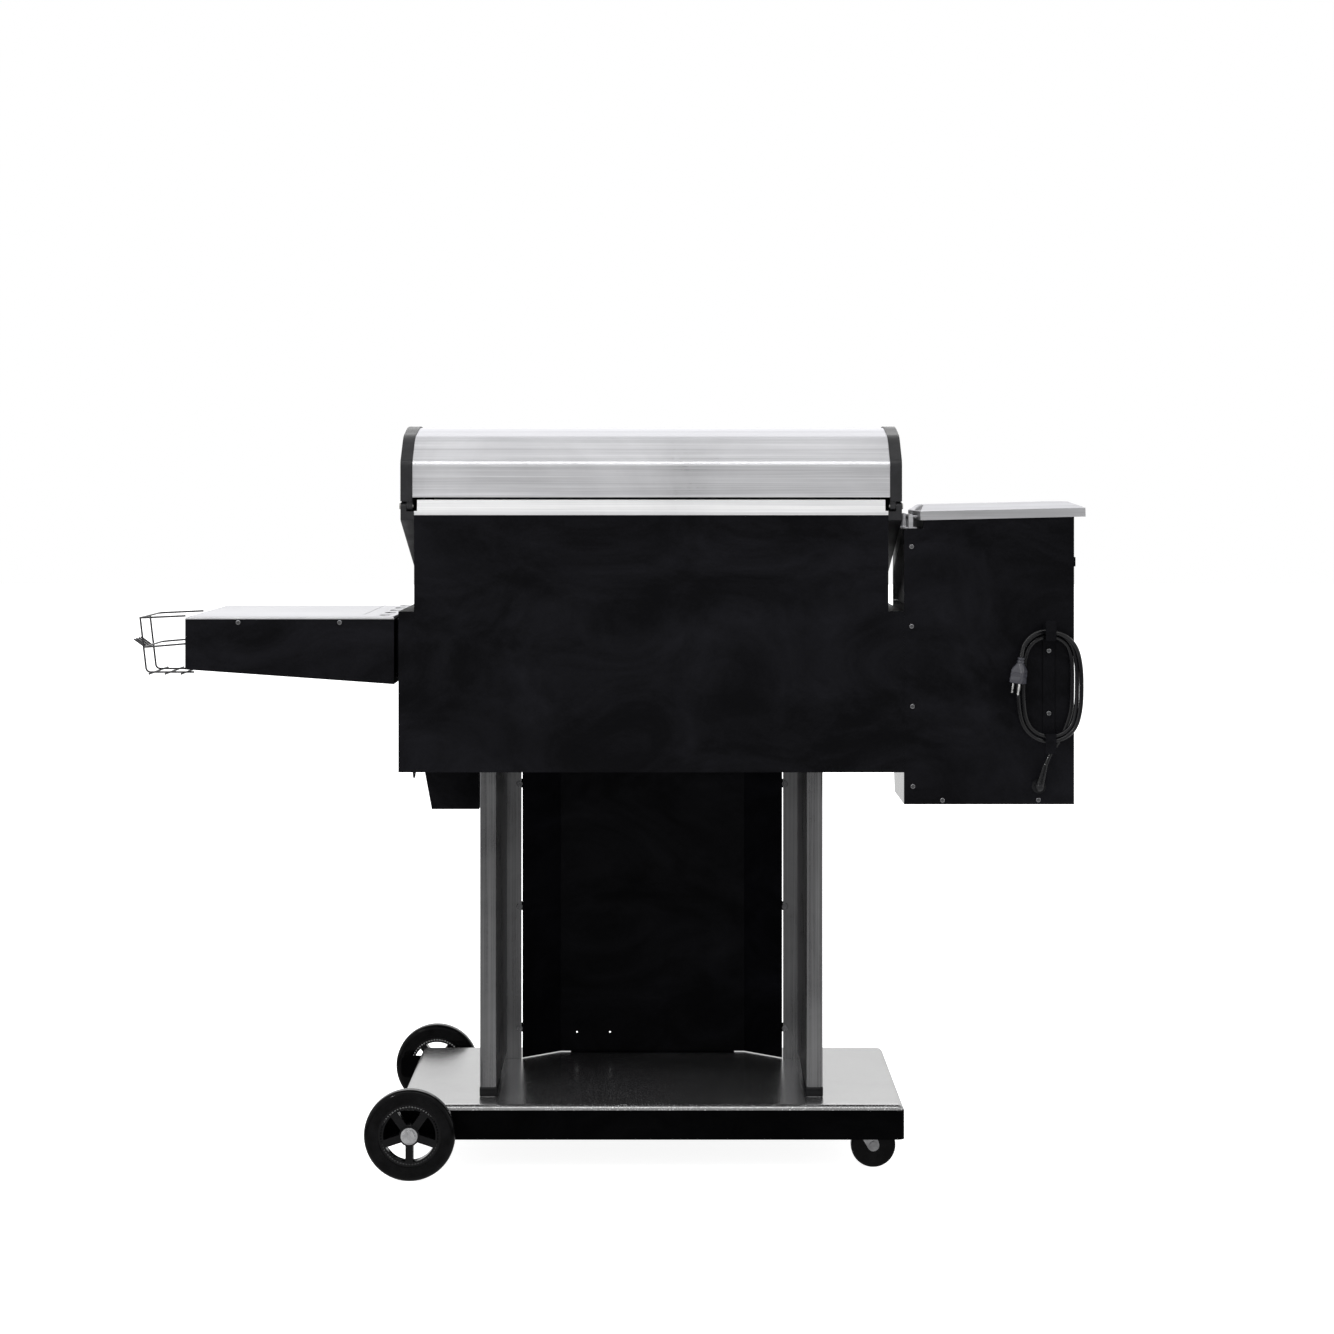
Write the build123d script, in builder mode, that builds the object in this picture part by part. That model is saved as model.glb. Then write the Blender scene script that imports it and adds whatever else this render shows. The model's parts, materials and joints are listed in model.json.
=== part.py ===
from build123d import *
import os
from math import cos, radians, sin, tan

# A pellet smoker grill on a pedestal cart, in millimetres.
# +Z is up, the front faces -Y, the side table is at +X and the pellet hopper at -X.
# The origin is on the floor, under the middle of the whole object.

os.makedirs("parts", exist_ok=True)

# ---------------------------------------------------------------- driving dimensions

BX = -73.5  # X of the barrel's and the cart's own centre plane
SHEET = 2.0  # thickness of every folded steel panel
GAP = 0.4  # air between a moving piece and its neighbour

# base shelf, wheels and casters
SHELF_HALF_X = 426.0
SHELF_HALF_Y = 274.0
SHELF_TOP = 117.0
SKIRT_BOTTOM = 59.0
SHELF_EDGE_RADIUS = 12.0
WHEEL_RADIUS = 76.2
TYRE_INNER_RADIUS = 52.5
WHEEL_WIDTH = 28.0
WHEEL_Y = 314.5
AXLE_X = BX + 402.0
AXLE_Z = WHEEL_RADIUS
AXLE_RADIUS = 6.0
RUNNING_FIT = 0.06
CASTER_RADIUS = 38.0
CASTER_WIDTH = 22.0
CASTER_TRAIL = 20.0
SWIVEL_X = BX - 357.0
SWIVEL_Y = 205.0
KINGPIN_RADIUS = 5.0

# pedestal
LEG_OUTER_X = 292.0
LEG_THICKNESS = 28.5
LEG_REAR_Y = 201.0
LEG_FRONT_Y = -157.0
LEG_FLANGE = 26.0
COVER_FRONT_Y = -225.0
COVER_HALF_X = 169.0
COVER_EDGE_X = 236.0
BOLT_X = 241.0
BOLT_HEIGHTS = (172.0, 393.0, 616.0)

# firebox housing and barrel
FLOOR_Z = 673.0
SHOULDER_Z = 945.0
HOUSING_HALF_X = 427.5
BARREL_HALF_X = 401.0
REAR_Y = 240.0
FRONT_Y = -280.0
REAR_PANEL_TOP = 1111.0
SPLIT_REAR_Z = 1115.0
SPLIT_SLOPE = tan(radians(16.5))
TRAY_LEDGE_Z = 838.0
GRATE_LEDGE_Z = 928.0

# lid
LID_HALF_X = 404.0
CAP_WIDTH = 20.0
CAP_PROUD = 2.5
HINGE_Y = 234.0
HINGE_Z = 1123.0
HINGE_RADIUS = 3.0
EAR_RADIUS = 6.5
LID_OUTLINE = [
    (240.0, 1138.0),
    (240.0, 1197.0),
    (180.0, 1240.0),
    (60.0, 1262.0),
    (-150.0, 1243.0),
    (-283.0, 1120.0),
    (-283.0, 963.0),
]
LID_BENDS = [12.0, 80.0, 400.0, 200.0, 110.0]
HANDLE_Y = -322.0
HANDLE_Z = 990.0

# fire pot, auger and blower
FIRE_Y = 40.0
AUGER_Z = 730.0
AUGER_TUBE_RADIUS = 25.0
AUGER_END_X = BX - 602.0
BLOWER_X = BX - 500.0
BLOWER_Z = 668.0

# hopper
HOPPER_IN_X = BX - 427.5
HOPPER_OUT_X = BX - 715.0
HOPPER_FRONT_Y = -24.0
HOPPER_BOTTOM = 619.0
HOPPER_LEDGE_Z = 1085.0
NECK_X = BX - 460.0
NECK_TOP = 1110.0
BIN_HINGE_X = BX - 442.0
BIN_HINGE_Z = 1105.0
BIN_LID_TILT = 1.3

# side table and basket
TABLE_IN_X = BX + 435.0
TABLE_OUT_X = BX + 788.0
TABLE_FRONT_Y = -264.0
TABLE_TOP = 936.0
WIRE_RADIUS = 1.6

# power cord
CORD_RADIUS = 3.75
COIL_X = BX - 672.0
COIL_Z = 819.0
COIL_HALF_X = 56.0
COIL_HALF_Z = 100.0
COIL_BUNDLE = 16.0
COIL_REAR_Y = 260.0


# ---------------------------------------------------------------- helpers


def save(piece, name):
    """Label a finished piece and write it to its own file."""
    piece.part.label = name
    export_step(piece.part, f"parts/{name}.step")


def slab(x, y, z, mode=Mode.ADD):
    """A box given by its two ends along each axis."""
    with Locations(((x[0] + x[1]) / 2, (y[0] + y[1]) / 2, (z[0] + z[1]) / 2)):
        Box(abs(x[1] - x[0]), abs(y[1] - y[0]), abs(z[1] - z[0]), mode=mode)


def rod(start, end, radius, mode=Mode.ADD):
    """A round bar between two points."""
    run = Vector(*end) - Vector(*start)
    with BuildSketch(Plane(origin=start, z_dir=run)) as section:
        Circle(radius)
    extrude(section.sketch, amount=run.length, mode=mode)


def bent_wire(points, bend, radius=WIRE_RADIUS):
    """A round wire bent to one radius at each inner point."""
    with BuildLine() as path:
        FilletPolyline(*points, radius=bend)
    with BuildSketch(Plane(origin=path.line @ 0, z_dir=path.line % 0)) as section:
        Circle(radius)
    sweep(section.sketch, path=path.line)


def prism_x(points, x, mode=Mode.ADD):
    """A Y-Z outline carried from x[0] to x[1]."""
    with BuildSketch(Plane.YZ.offset(min(x))) as section:
        with BuildLine():
            Polyline(*points, close=True)
        make_face()
    extrude(section.sketch, amount=abs(x[1] - x[0]), mode=mode)


def split_z(y):
    """Height of the line where the lid meets the body, sloping down to the front."""
    return SPLIT_REAR_Z - (REAR_Y - y) * SPLIT_SLOPE


# ---------------------------------------------------------------- base shelf and running gear

with BuildPart() as base_shelf:
    slab(
        (BX - SHELF_HALF_X, BX + SHELF_HALF_X),
        (-SHELF_HALF_Y, SHELF_HALF_Y),
        (SKIRT_BOTTOM, SHELF_TOP),
    )
    fillet(base_shelf.edges().filter_by(Axis.Z) + base_shelf.faces().sort_by(Axis.Z)[-1].edges(),
           SHELF_EDGE_RADIUS)
    offset(amount=-SHEET, openings=base_shelf.faces().sort_by(Axis.Z)[0])
    rod(
        (AXLE_X, -SHELF_HALF_Y - 1, AXLE_Z),
        (AXLE_X, SHELF_HALF_Y + 1, AXLE_Z),
        AXLE_RADIUS + 0.3,
        mode=Mode.SUBTRACT,
    )
save(base_shelf, "base_shelf")

BRACKET_THICKNESS = 3.0
with BuildPart() as axle_brackets:
    for side in (-1, 1):
        near = side * SHELF_HALF_Y
        with BuildSketch(Plane.XZ.offset(-near)) as plate:
            with Locations((BX + 416, 80)):
                RectangleRounded(100, 40, 10)
            with Locations((AXLE_X, AXLE_Z)):
                Circle(AXLE_RADIUS + 0.3, mode=Mode.SUBTRACT)
        extrude(plate.sketch, amount=-side * BRACKET_THICKNESS)
save(axle_brackets, "axle_brackets")

WASHER_Y = WHEEL_Y + WHEEL_WIDTH / 2 + GAP
SPACER_Y = WHEEL_Y - WHEEL_WIDTH / 2 - GAP
with BuildPart() as axle_rod:
    rod((AXLE_X, -WASHER_Y, AXLE_Z), (AXLE_X, WASHER_Y, AXLE_Z), AXLE_RADIUS)
    for side in (-1, 1):
        spacer_in = side * (SHELF_HALF_Y + BRACKET_THICKNESS)
        rod((AXLE_X, spacer_in, AXLE_Z), (AXLE_X, side * SPACER_Y, AXLE_Z), 10)
        rod((AXLE_X, side * WASHER_Y, AXLE_Z), (AXLE_X, side * (WASHER_Y + 1.6), AXLE_Z), 14)
        with BuildSketch(Plane.XZ.offset(-side * (WASHER_Y + 1.6))) as nut:
            with Locations((AXLE_X, AXLE_Z)):
                RegularPolygon(radius=11, side_count=6)
        extrude(nut.sketch, amount=-side * 6.4)
save(axle_rod, "axle_rod")

SPOKES = 5
RIM_WINDOW_RADIUS = 43.6
for name, side in (("wheel_rear", 1), ("wheel_front", -1)):
    with BuildPart() as hub:
        with BuildSketch(Plane.XZ.offset(-side * WHEEL_Y)) as disc:
            with Locations((AXLE_X, AXLE_Z)):
                Circle(TYRE_INNER_RADIUS)
                Circle(AXLE_RADIUS + RUNNING_FIT, mode=Mode.SUBTRACT)
        extrude(disc.sketch, amount=WHEEL_WIDTH / 2 - 3, both=True)
        with BuildSketch(Plane.XZ.offset(-side * WHEEL_Y)) as boss:
            with Locations((AXLE_X, AXLE_Z)):
                Circle(17)
                Circle(AXLE_RADIUS + RUNNING_FIT, mode=Mode.SUBTRACT)
        extrude(boss.sketch, amount=WHEEL_WIDTH / 2, both=True)
        with BuildSketch(Plane.XZ.offset(-side * WHEEL_Y)) as dish:
            with Locations((AXLE_X, AXLE_Z)):
                Circle(RIM_WINDOW_RADIUS)
                Circle(17, mode=Mode.SUBTRACT)
                for spoke in range(SPOKES):
                    turn = -90 + spoke * 360 / SPOKES
                    with PolarLocations(0, 1, start_angle=turn):
                        with Locations((RIM_WINDOW_RADIUS / 2, 0)):
                            Rectangle(RIM_WINDOW_RADIUS, 13, mode=Mode.SUBTRACT)
        extrude(dish.sketch, amount=WHEEL_WIDTH, both=True, mode=Mode.SUBTRACT)
        with BuildSketch(Plane.XZ.offset(-side * WHEEL_Y)) as rim_holes:
            with Locations((AXLE_X, AXLE_Z)):
                with PolarLocations(47.6, 60):
                    Circle(1.3)
        extrude(rim_holes.sketch, amount=WHEEL_WIDTH, both=True, mode=Mode.SUBTRACT)
    save(hub, f"{name}_hub")

    with BuildPart() as tyre:
        with BuildSketch(Plane.XZ.offset(-side * WHEEL_Y)) as ring:
            with Locations((AXLE_X, AXLE_Z)):
                Circle(WHEEL_RADIUS)
                Circle(TYRE_INNER_RADIUS, mode=Mode.SUBTRACT)
        extrude(ring.sketch, amount=WHEEL_WIDTH / 2, both=True)
        fillet(tyre.edges().filter_by(GeomType.CIRCLE).group_by(SortBy.RADIUS)[-1], 8)
    save(tyre, f"{name}_tyre")

CROWN_TOP = 87.6
CROWN_BOTTOM = 79.4
CHANNEL_BOTTOM = 95.0
with BuildPart() as caster_plates:
    for side in (-1, 1):
        y = side * SWIVEL_Y
        slab((SWIVEL_X - 33, SWIVEL_X + 33), (y - 30, y + 30), (CHANNEL_BOTTOM - 3, SHELF_TOP - SHEET))
        slab(
            (SWIVEL_X - 34, SWIVEL_X + 34),
            (y - 27, y + 27),
            (CHANNEL_BOTTOM, SHELF_TOP - SHEET - 3),
            mode=Mode.SUBTRACT,
        )
        rod((SWIVEL_X, y, 88), (SWIVEL_X, y, 92), 19)
        rod((SWIVEL_X, y, 77), (SWIVEL_X, y, 88), KINGPIN_RADIUS)
        rod((SWIVEL_X, y, 77), (SWIVEL_X, y, 79), 8)
save(caster_plates, "caster_plates")

CASTER_AXLE_X = SWIVEL_X - CASTER_TRAIL
FORK_INNER = 12.0
FORK_OUTER = 14.5
for name, side in (("caster_rear", 1), ("caster_front", -1)):
    y = side * SWIVEL_Y
    with BuildPart() as fork:
        rod((SWIVEL_X, y, CROWN_BOTTOM), (SWIVEL_X, y, CROWN_TOP), 22)
        for cheek in (-1, 1):
            with BuildSketch(Plane.XZ.offset(-(y + cheek * FORK_INNER))) as leaf:
                with Locations((SWIVEL_X, CROWN_BOTTOM + 3)):
                    Rectangle(32, 6)
                with Locations((CASTER_AXLE_X, CASTER_RADIUS)):
                    Circle(10)
                make_hull()
            extrude(leaf.sketch, amount=-cheek * (FORK_OUTER - FORK_INNER))
            rod(
                (CASTER_AXLE_X, y + cheek * FORK_OUTER, CASTER_RADIUS),
                (CASTER_AXLE_X, y + cheek * (FORK_OUTER + 3), CASTER_RADIUS),
                6.5,
            )
        rod(
            (CASTER_AXLE_X, y - FORK_OUTER, CASTER_RADIUS),
            (CASTER_AXLE_X, y + FORK_OUTER, CASTER_RADIUS),
            4,
        )
        rod(
            (SWIVEL_X, y, CROWN_BOTTOM - 1),
            (SWIVEL_X, y, CROWN_TOP + 1),
            KINGPIN_RADIUS + RUNNING_FIT,
            mode=Mode.SUBTRACT,
        )
    save(fork, f"{name}_fork")

    with BuildPart() as roller:
        with BuildSketch(Plane.XZ.offset(-y)) as ring:
            with Locations((CASTER_AXLE_X, CASTER_RADIUS)):
                Circle(CASTER_RADIUS)
        extrude(ring.sketch, amount=CASTER_WIDTH / 2, both=True)
        fillet(roller.edges().filter_by(GeomType.CIRCLE), 4)
        rod(
            (CASTER_AXLE_X, y - CASTER_WIDTH, CASTER_RADIUS),
            (CASTER_AXLE_X, y + CASTER_WIDTH, CASTER_RADIUS),
            4 + RUNNING_FIT,
            mode=Mode.SUBTRACT,
        )
    save(roller, f"{name}_wheel")

# ---------------------------------------------------------------- pedestal

for name, side in (("leg_left", 1), ("leg_right", -1)):
    outer_x = BX + side * LEG_OUTER_X
    inner_x = BX + side * (LEG_OUTER_X - LEG_THICKNESS)
    with BuildPart() as leg:
        slab((inner_x, outer_x), (LEG_FRONT_Y, LEG_REAR_Y), (SHELF_TOP, FLOOR_Z))
        fillet(leg.edges().filter_by(Axis.Z), 5)
        slab(
            (inner_x - side * LEG_FLANGE, inner_x + side * 6),
            (LEG_FRONT_Y, LEG_FRONT_Y + SHEET),
            (SHELF_TOP, FLOOR_Z),
        )
        with BuildSketch(Plane.XY.offset(SHELF_TOP)) as bore:
            with Locations(((inner_x + outer_x) / 2, (LEG_FRONT_Y + LEG_REAR_Y) / 2)):
                RectangleRounded(
                    LEG_THICKNESS - 2 * SHEET,
                    LEG_REAR_Y - LEG_FRONT_Y - 2 * SHEET,
                    3,
                )
        extrude(bore.sketch, amount=FLOOR_Z - SHELF_TOP, mode=Mode.SUBTRACT)
        for height in BOLT_HEIGHTS:
            rod(
                (BX + side * BOLT_X, LEG_FRONT_Y - 1, height),
                (BX + side * BOLT_X, LEG_FRONT_Y + SHEET + 1, height),
                3.2,
                mode=Mode.SUBTRACT,
            )
    save(leg, name)

COVER_FLANK = COVER_EDGE_X - COVER_HALF_X
TAB_Y = COVER_FRONT_Y + COVER_FLANK - 7
with BuildPart() as front_cover:
    with BuildSketch(Plane.XY.offset(SHELF_TOP + 1.2)) as pan:
        with BuildLine():
            fold = Polyline(
                (BX - COVER_EDGE_X, COVER_FRONT_Y + COVER_FLANK),
                (BX - COVER_HALF_X, COVER_FRONT_Y),
                (BX + COVER_HALF_X, COVER_FRONT_Y),
                (BX + COVER_EDGE_X, COVER_FRONT_Y + COVER_FLANK),
            )
            offset(fold, amount=SHEET, side=Side.LEFT)
        make_face()
    extrude(pan.sketch, amount=FLOOR_Z - SHELF_TOP - 3.2)
    slab((BX - 150, BX + 150), (COVER_FRONT_Y, COVER_FRONT_Y + 18), (SHELF_TOP, SHELF_TOP + SHEET))
    slab((BX - 150, BX + 150), (COVER_FRONT_Y, COVER_FRONT_Y + SHEET), (SHELF_TOP, SHELF_TOP + 4))
    for side in (-1, 1):
        for height in BOLT_HEIGHTS:
            slab(
                (BX + side * (COVER_EDGE_X - 10), BX + side * (BOLT_X + 6)),
                (TAB_Y - SHEET, TAB_Y),
                (height - 8, height + 8),
            )
            rod(
                (BX + side * BOLT_X, TAB_Y - 5, height),
                (BX + side * BOLT_X, TAB_Y + 1, height),
                3.2,
                mode=Mode.SUBTRACT,
            )
    for hole_x in (78.1, 138.7):
        rod(
            (BX + hole_x, COVER_FRONT_Y - 1, 153),
            (BX + hole_x, COVER_FRONT_Y + 4, 153),
            1.6,
            mode=Mode.SUBTRACT,
        )
save(front_cover, "front_cover")

with BuildPart() as cover_bolts:
    for side in (-1, 1):
        x = BX + side * BOLT_X
        for height in BOLT_HEIGHTS:
            rod((x, TAB_Y - SHEET - 4, height), (x, LEG_FRONT_Y + SHEET + 3, height), 3)
            rod((x, LEG_FRONT_Y + SHEET, height), (x, LEG_FRONT_Y + SHEET + 3, height), 5.5)
            rod((x, TAB_Y, height), (x, LEG_FRONT_Y, height), 5)
            rod((x, TAB_Y - SHEET - 4, height), (x, TAB_Y - SHEET, height), 5.5)
save(cover_bolts, "cover_bolts")

# ---------------------------------------------------------------- firebox housing

with BuildPart() as rear_panel:
    slab((BX - HOUSING_HALF_X, BX + HOUSING_HALF_X), (REAR_Y - SHEET, REAR_Y), (FLOOR_Z, SHOULDER_Z))
    slab((BX - BARREL_HALF_X, BX + BARREL_HALF_X), (REAR_Y - SHEET, REAR_Y), (FLOOR_Z, REAR_PANEL_TOP))
save(rear_panel, "rear_panel")

with BuildPart() as front_panel:
    slab((BX - HOUSING_HALF_X, BX + HOUSING_HALF_X), (FRONT_Y, FRONT_Y + SHEET), (FLOOR_Z, SHOULDER_Z))
    slab((BX - BARREL_HALF_X, BX + BARREL_HALF_X), (FRONT_Y, FRONT_Y + SHEET), (FLOOR_Z, split_z(FRONT_Y) - 1))
save(front_panel, "front_panel")

DUCT_Y = (104.0, 136.0)
DUCT_Z = (690.0, 708.0)
SIDE_Y = (FRONT_Y + SHEET, REAR_Y - SHEET)
for name, side in (("side_panel_left", 1), ("side_panel_right", -1)):
    wall_x = (BX + side * (HOUSING_HALF_X - SHEET), BX + side * HOUSING_HALF_X)
    barrel_x = (BX + side * (BARREL_HALF_X - SHEET), BX + side * BARREL_HALF_X)
    with BuildPart() as side_panel:
        slab(wall_x, SIDE_Y, (FLOOR_Z, SHOULDER_Z))
        slab((barrel_x[0], wall_x[1]), SIDE_Y, (SHOULDER_Z - SHEET, SHOULDER_Z))
        prism_x(
            [
                (SIDE_Y[0], SHOULDER_Z - SHEET),
                (SIDE_Y[1], SHOULDER_Z - SHEET),
                (SIDE_Y[1], split_z(SIDE_Y[1]) - 1),
                (SIDE_Y[0], split_z(SIDE_Y[0]) - 1),
            ],
            barrel_x,
        )
        for ledge in (TRAY_LEDGE_Z, GRATE_LEDGE_Z):
            slab((BX + side * 408, wall_x[0]), (-260, 220), (ledge - SHEET, ledge))
        if side < 0:
            rod(
                (wall_x[1] - 1, FIRE_Y, AUGER_Z),
                (wall_x[0] + 1, FIRE_Y, AUGER_Z),
                AUGER_TUBE_RADIUS,
                mode=Mode.SUBTRACT,
            )
            slab((wall_x[1] - 1, wall_x[0] + 1), DUCT_Y, DUCT_Z, mode=Mode.SUBTRACT)
    save(side_panel, name)

SPOUT_X = BX + 340.0
SPOUT_Y = -20.0
with BuildPart() as floor_panel:
    slab(
        (BX - HOUSING_HALF_X + SHEET, BX + HOUSING_HALF_X - SHEET),
        SIDE_Y,
        (FLOOR_Z, FLOOR_Z + SHEET),
    )
    rod((SPOUT_X, SPOUT_Y, FLOOR_Z - 1), (SPOUT_X, SPOUT_Y, FLOOR_Z + 4), 20, mode=Mode.SUBTRACT)
save(floor_panel, "floor_panel")

with BuildPart() as barrel_caps:
    for side in (-1, 1):
        band_x = (BX + side * BARREL_HALF_X, BX + side * (LID_HALF_X + CAP_WIDTH))
        prism_x(
            [
                (FRONT_Y, split_z(FRONT_Y) - 15.5),
                (REAR_Y, split_z(REAR_Y) - 15.5),
                (REAR_Y, split_z(REAR_Y) - 0.75),
                (FRONT_Y, split_z(FRONT_Y) - 0.75),
            ],
            band_x,
        )
        ear_x = (BX + side * (LID_HALF_X + 10), band_x[1])
        slab(ear_x, (HINGE_Y - EAR_RADIUS, HINGE_Y + EAR_RADIUS - 0.5), (HINGE_Z - 14, HINGE_Z))
        rod((ear_x[0], HINGE_Y, HINGE_Z), (ear_x[1], HINGE_Y, HINGE_Z), EAR_RADIUS)
        rod(
            (ear_x[0] - side, HINGE_Y, HINGE_Z),
            (ear_x[1] + side, HINGE_Y, HINGE_Z),
            HINGE_RADIUS,
            mode=Mode.SUBTRACT,
        )
save(barrel_caps, "barrel_caps")

with BuildPart() as exhaust_strip:
    prism_x(
        [
            (REAR_Y, 1108),
            (REAR_Y + 1.5, 1108),
            (REAR_Y + 1.5, 1112),
            (237.6, 1134),
            (236.1, 1133.7),
            (REAR_Y, 1111.3),
        ],
        (BX - BARREL_HALF_X + 0.2, BX + BARREL_HALF_X - 0.2),
    )
    for side in (-1, 1):
        slab(
            (BX + side * 396, BX + side * 403),
            (230, REAR_Y + 3),
            (1115, 1145),
            mode=Mode.SUBTRACT,
        )
save(exhaust_strip, "exhaust_strip")

with BuildPart() as hinge_pins:
    for side in (-1, 1):
        pin_x = (BX + side * (BARREL_HALF_X + 1.5), BX + side * (LID_HALF_X + CAP_WIDTH + 2))
        rod((pin_x[0], HINGE_Y, HINGE_Z), (pin_x[1], HINGE_Y, HINGE_Z), HINGE_RADIUS)
        rod((pin_x[1] - side * 2, HINGE_Y, HINGE_Z), (pin_x[1], HINGE_Y, HINGE_Z), 5)
save(hinge_pins, "hinge_pins")

# ---------------------------------------------------------------- lid

with BuildPart() as lid_skin:
    with BuildSketch(Plane.YZ.offset(BX - LID_HALF_X)) as profile:
        with BuildLine():
            outline = FilletPolyline(*LID_OUTLINE, radius=LID_BENDS)
            offset(outline, amount=1.5, side=Side.LEFT)
        make_face()
    extrude(profile.sketch, amount=2 * LID_HALF_X)
    rod((BX, -290, 1040), (BX, -270, 1040), 4, mode=Mode.SUBTRACT)
save(lid_skin, "lid_skin")

NOTCH_Y = 219.0
for name, side in (("lid_cap_left", 1), ("lid_cap_right", -1)):
    cap_x = BX + side * LID_HALF_X
    with BuildPart() as lid_cap:
        with BuildSketch(Plane.YZ.offset(cap_x)) as plate:
            with BuildLine():
                rim = FilletPolyline(*LID_OUTLINE, radius=LID_BENDS)
                Polyline(rim @ 1, (LID_OUTLINE[-1][0], 900), (LID_OUTLINE[0][0], 1050), rim @ 0)
            make_face()
            offset(amount=CAP_PROUD)
            with BuildLine():
                Polyline(
                    (-400, split_z(-400) + 0.75),
                    (NOTCH_Y, split_z(NOTCH_Y) + 0.75),
                    (NOTCH_Y, 1131),
                    (400, 1131),
                    (400, 800),
                    (-400, 800),
                    close=True,
                )
            make_face(mode=Mode.SUBTRACT)
        extrude(plate.sketch, amount=side * CAP_WIDTH)
        with BuildSketch(Plane.YZ.offset(cap_x)) as pocket:
            add(plate.sketch_local)
            offset(amount=-14)
        extrude(pocket.sketch, amount=side * (CAP_WIDTH - 4), mode=Mode.SUBTRACT)
        ear_x = (cap_x, cap_x + side * (10 - GAP))
        slab(ear_x, (HINGE_Y - EAR_RADIUS, HINGE_Y + EAR_RADIUS - 0.5), (HINGE_Z, 1134))
        rod((ear_x[0], HINGE_Y, HINGE_Z), (ear_x[1], HINGE_Y, HINGE_Z), EAR_RADIUS)
        rod(
            (ear_x[0] - side, HINGE_Y, HINGE_Z),
            (ear_x[1] + side, HINGE_Y, HINGE_Z),
            HINGE_RADIUS + RUNNING_FIT,
            mode=Mode.SUBTRACT,
        )
    save(lid_cap, name)

with BuildPart() as lid_handle:
    rod((BX - 330, HANDLE_Y, HANDLE_Z), (BX + 330, HANDLE_Y, HANDLE_Z), 11)
    fillet(lid_handle.edges().filter_by(GeomType.CIRCLE), 3)
    for side in (-1, 1):
        post_x = BX + side * 295
        rod((post_x, -283, HANDLE_Z), (post_x, HANDLE_Y, HANDLE_Z), 8)
        rod((post_x, -283, HANDLE_Z), (post_x, -287, HANDLE_Z), 13)
save(lid_handle, "lid_handle")

with BuildPart() as thermometer:
    rod((BX, -283, 1040), (BX, -296, 1040), 27)
    fillet(thermometer.edges().sort_by(Axis.Y)[0], 3)
    rod((BX, -296, 1040), (BX, -294, 1040), 22, mode=Mode.SUBTRACT)
    rod((BX, -284, 1040), (BX, -225, 1040), 3)
save(thermometer, "thermometer")

# ---------------------------------------------------------------- inside the firebox

with BuildPart() as fire_pot:
    rod((BX, FIRE_Y, FLOOR_Z + SHEET), (BX, FIRE_Y, 778), 62)
    rod((BX, FIRE_Y, 693), (BX, FIRE_Y, 779), 59, mode=Mode.SUBTRACT)
    rod((BX, FIRE_Y, FLOOR_Z), (BX, FIRE_Y, 690), 59, mode=Mode.SUBTRACT)
    rod((BX - 70, FIRE_Y, AUGER_Z), (BX - 40, FIRE_Y, AUGER_Z), AUGER_TUBE_RADIUS, mode=Mode.SUBTRACT)
    with BuildSketch(Plane.XY.offset(689)) as vents:
        with Locations((BX, FIRE_Y)):
            with PolarLocations(40, 12):
                Circle(3)
    extrude(vents.sketch, amount=6, mode=Mode.SUBTRACT)
save(fire_pot, "fire_pot")

with BuildPart() as auger_tube:
    rod((BX - 57, FIRE_Y, AUGER_Z), (AUGER_END_X, FIRE_Y, AUGER_Z), AUGER_TUBE_RADIUS)
    rod((BX - 56, FIRE_Y, AUGER_Z), (AUGER_END_X - 1, FIRE_Y, AUGER_Z), 22, mode=Mode.SUBTRACT)
    slab((BX - 598, BX - 502), (FIRE_Y - 18, FIRE_Y + 18), (AUGER_Z + 8, AUGER_Z + 30), mode=Mode.SUBTRACT)
save(auger_tube, "auger_tube")

FLIGHT_PITCH = 38.0
with BuildPart() as auger_screw:
    rod((BX - 64, FIRE_Y, AUGER_Z), (BX - 600, FIRE_Y, AUGER_Z), 7)
    for turn in range(14):
        with Locations(Location((BX - 82 - turn * FLIGHT_PITCH, FIRE_Y, AUGER_Z), (0, 70, 0))):
            Cylinder(20, 2.4)
    rod((BX - 588, FIRE_Y, AUGER_Z), (BX - 601, FIRE_Y, AUGER_Z), 3 + RUNNING_FIT, mode=Mode.SUBTRACT)
save(auger_screw, "auger_screw")

with BuildPart() as auger_motor:
    slab((AUGER_END_X - 46, AUGER_END_X), (FIRE_Y - 28, FIRE_Y + 28), (700, 755))
    rod((AUGER_END_X - 46, FIRE_Y, 725), (AUGER_END_X - 90, FIRE_Y, 725), 22)
    rod((AUGER_END_X, FIRE_Y, AUGER_Z), (AUGER_END_X + 13, FIRE_Y, AUGER_Z), 3)
    fillet(auger_motor.edges().filter_by(Axis.X), 4)
save(auger_motor, "auger_motor")

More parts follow.
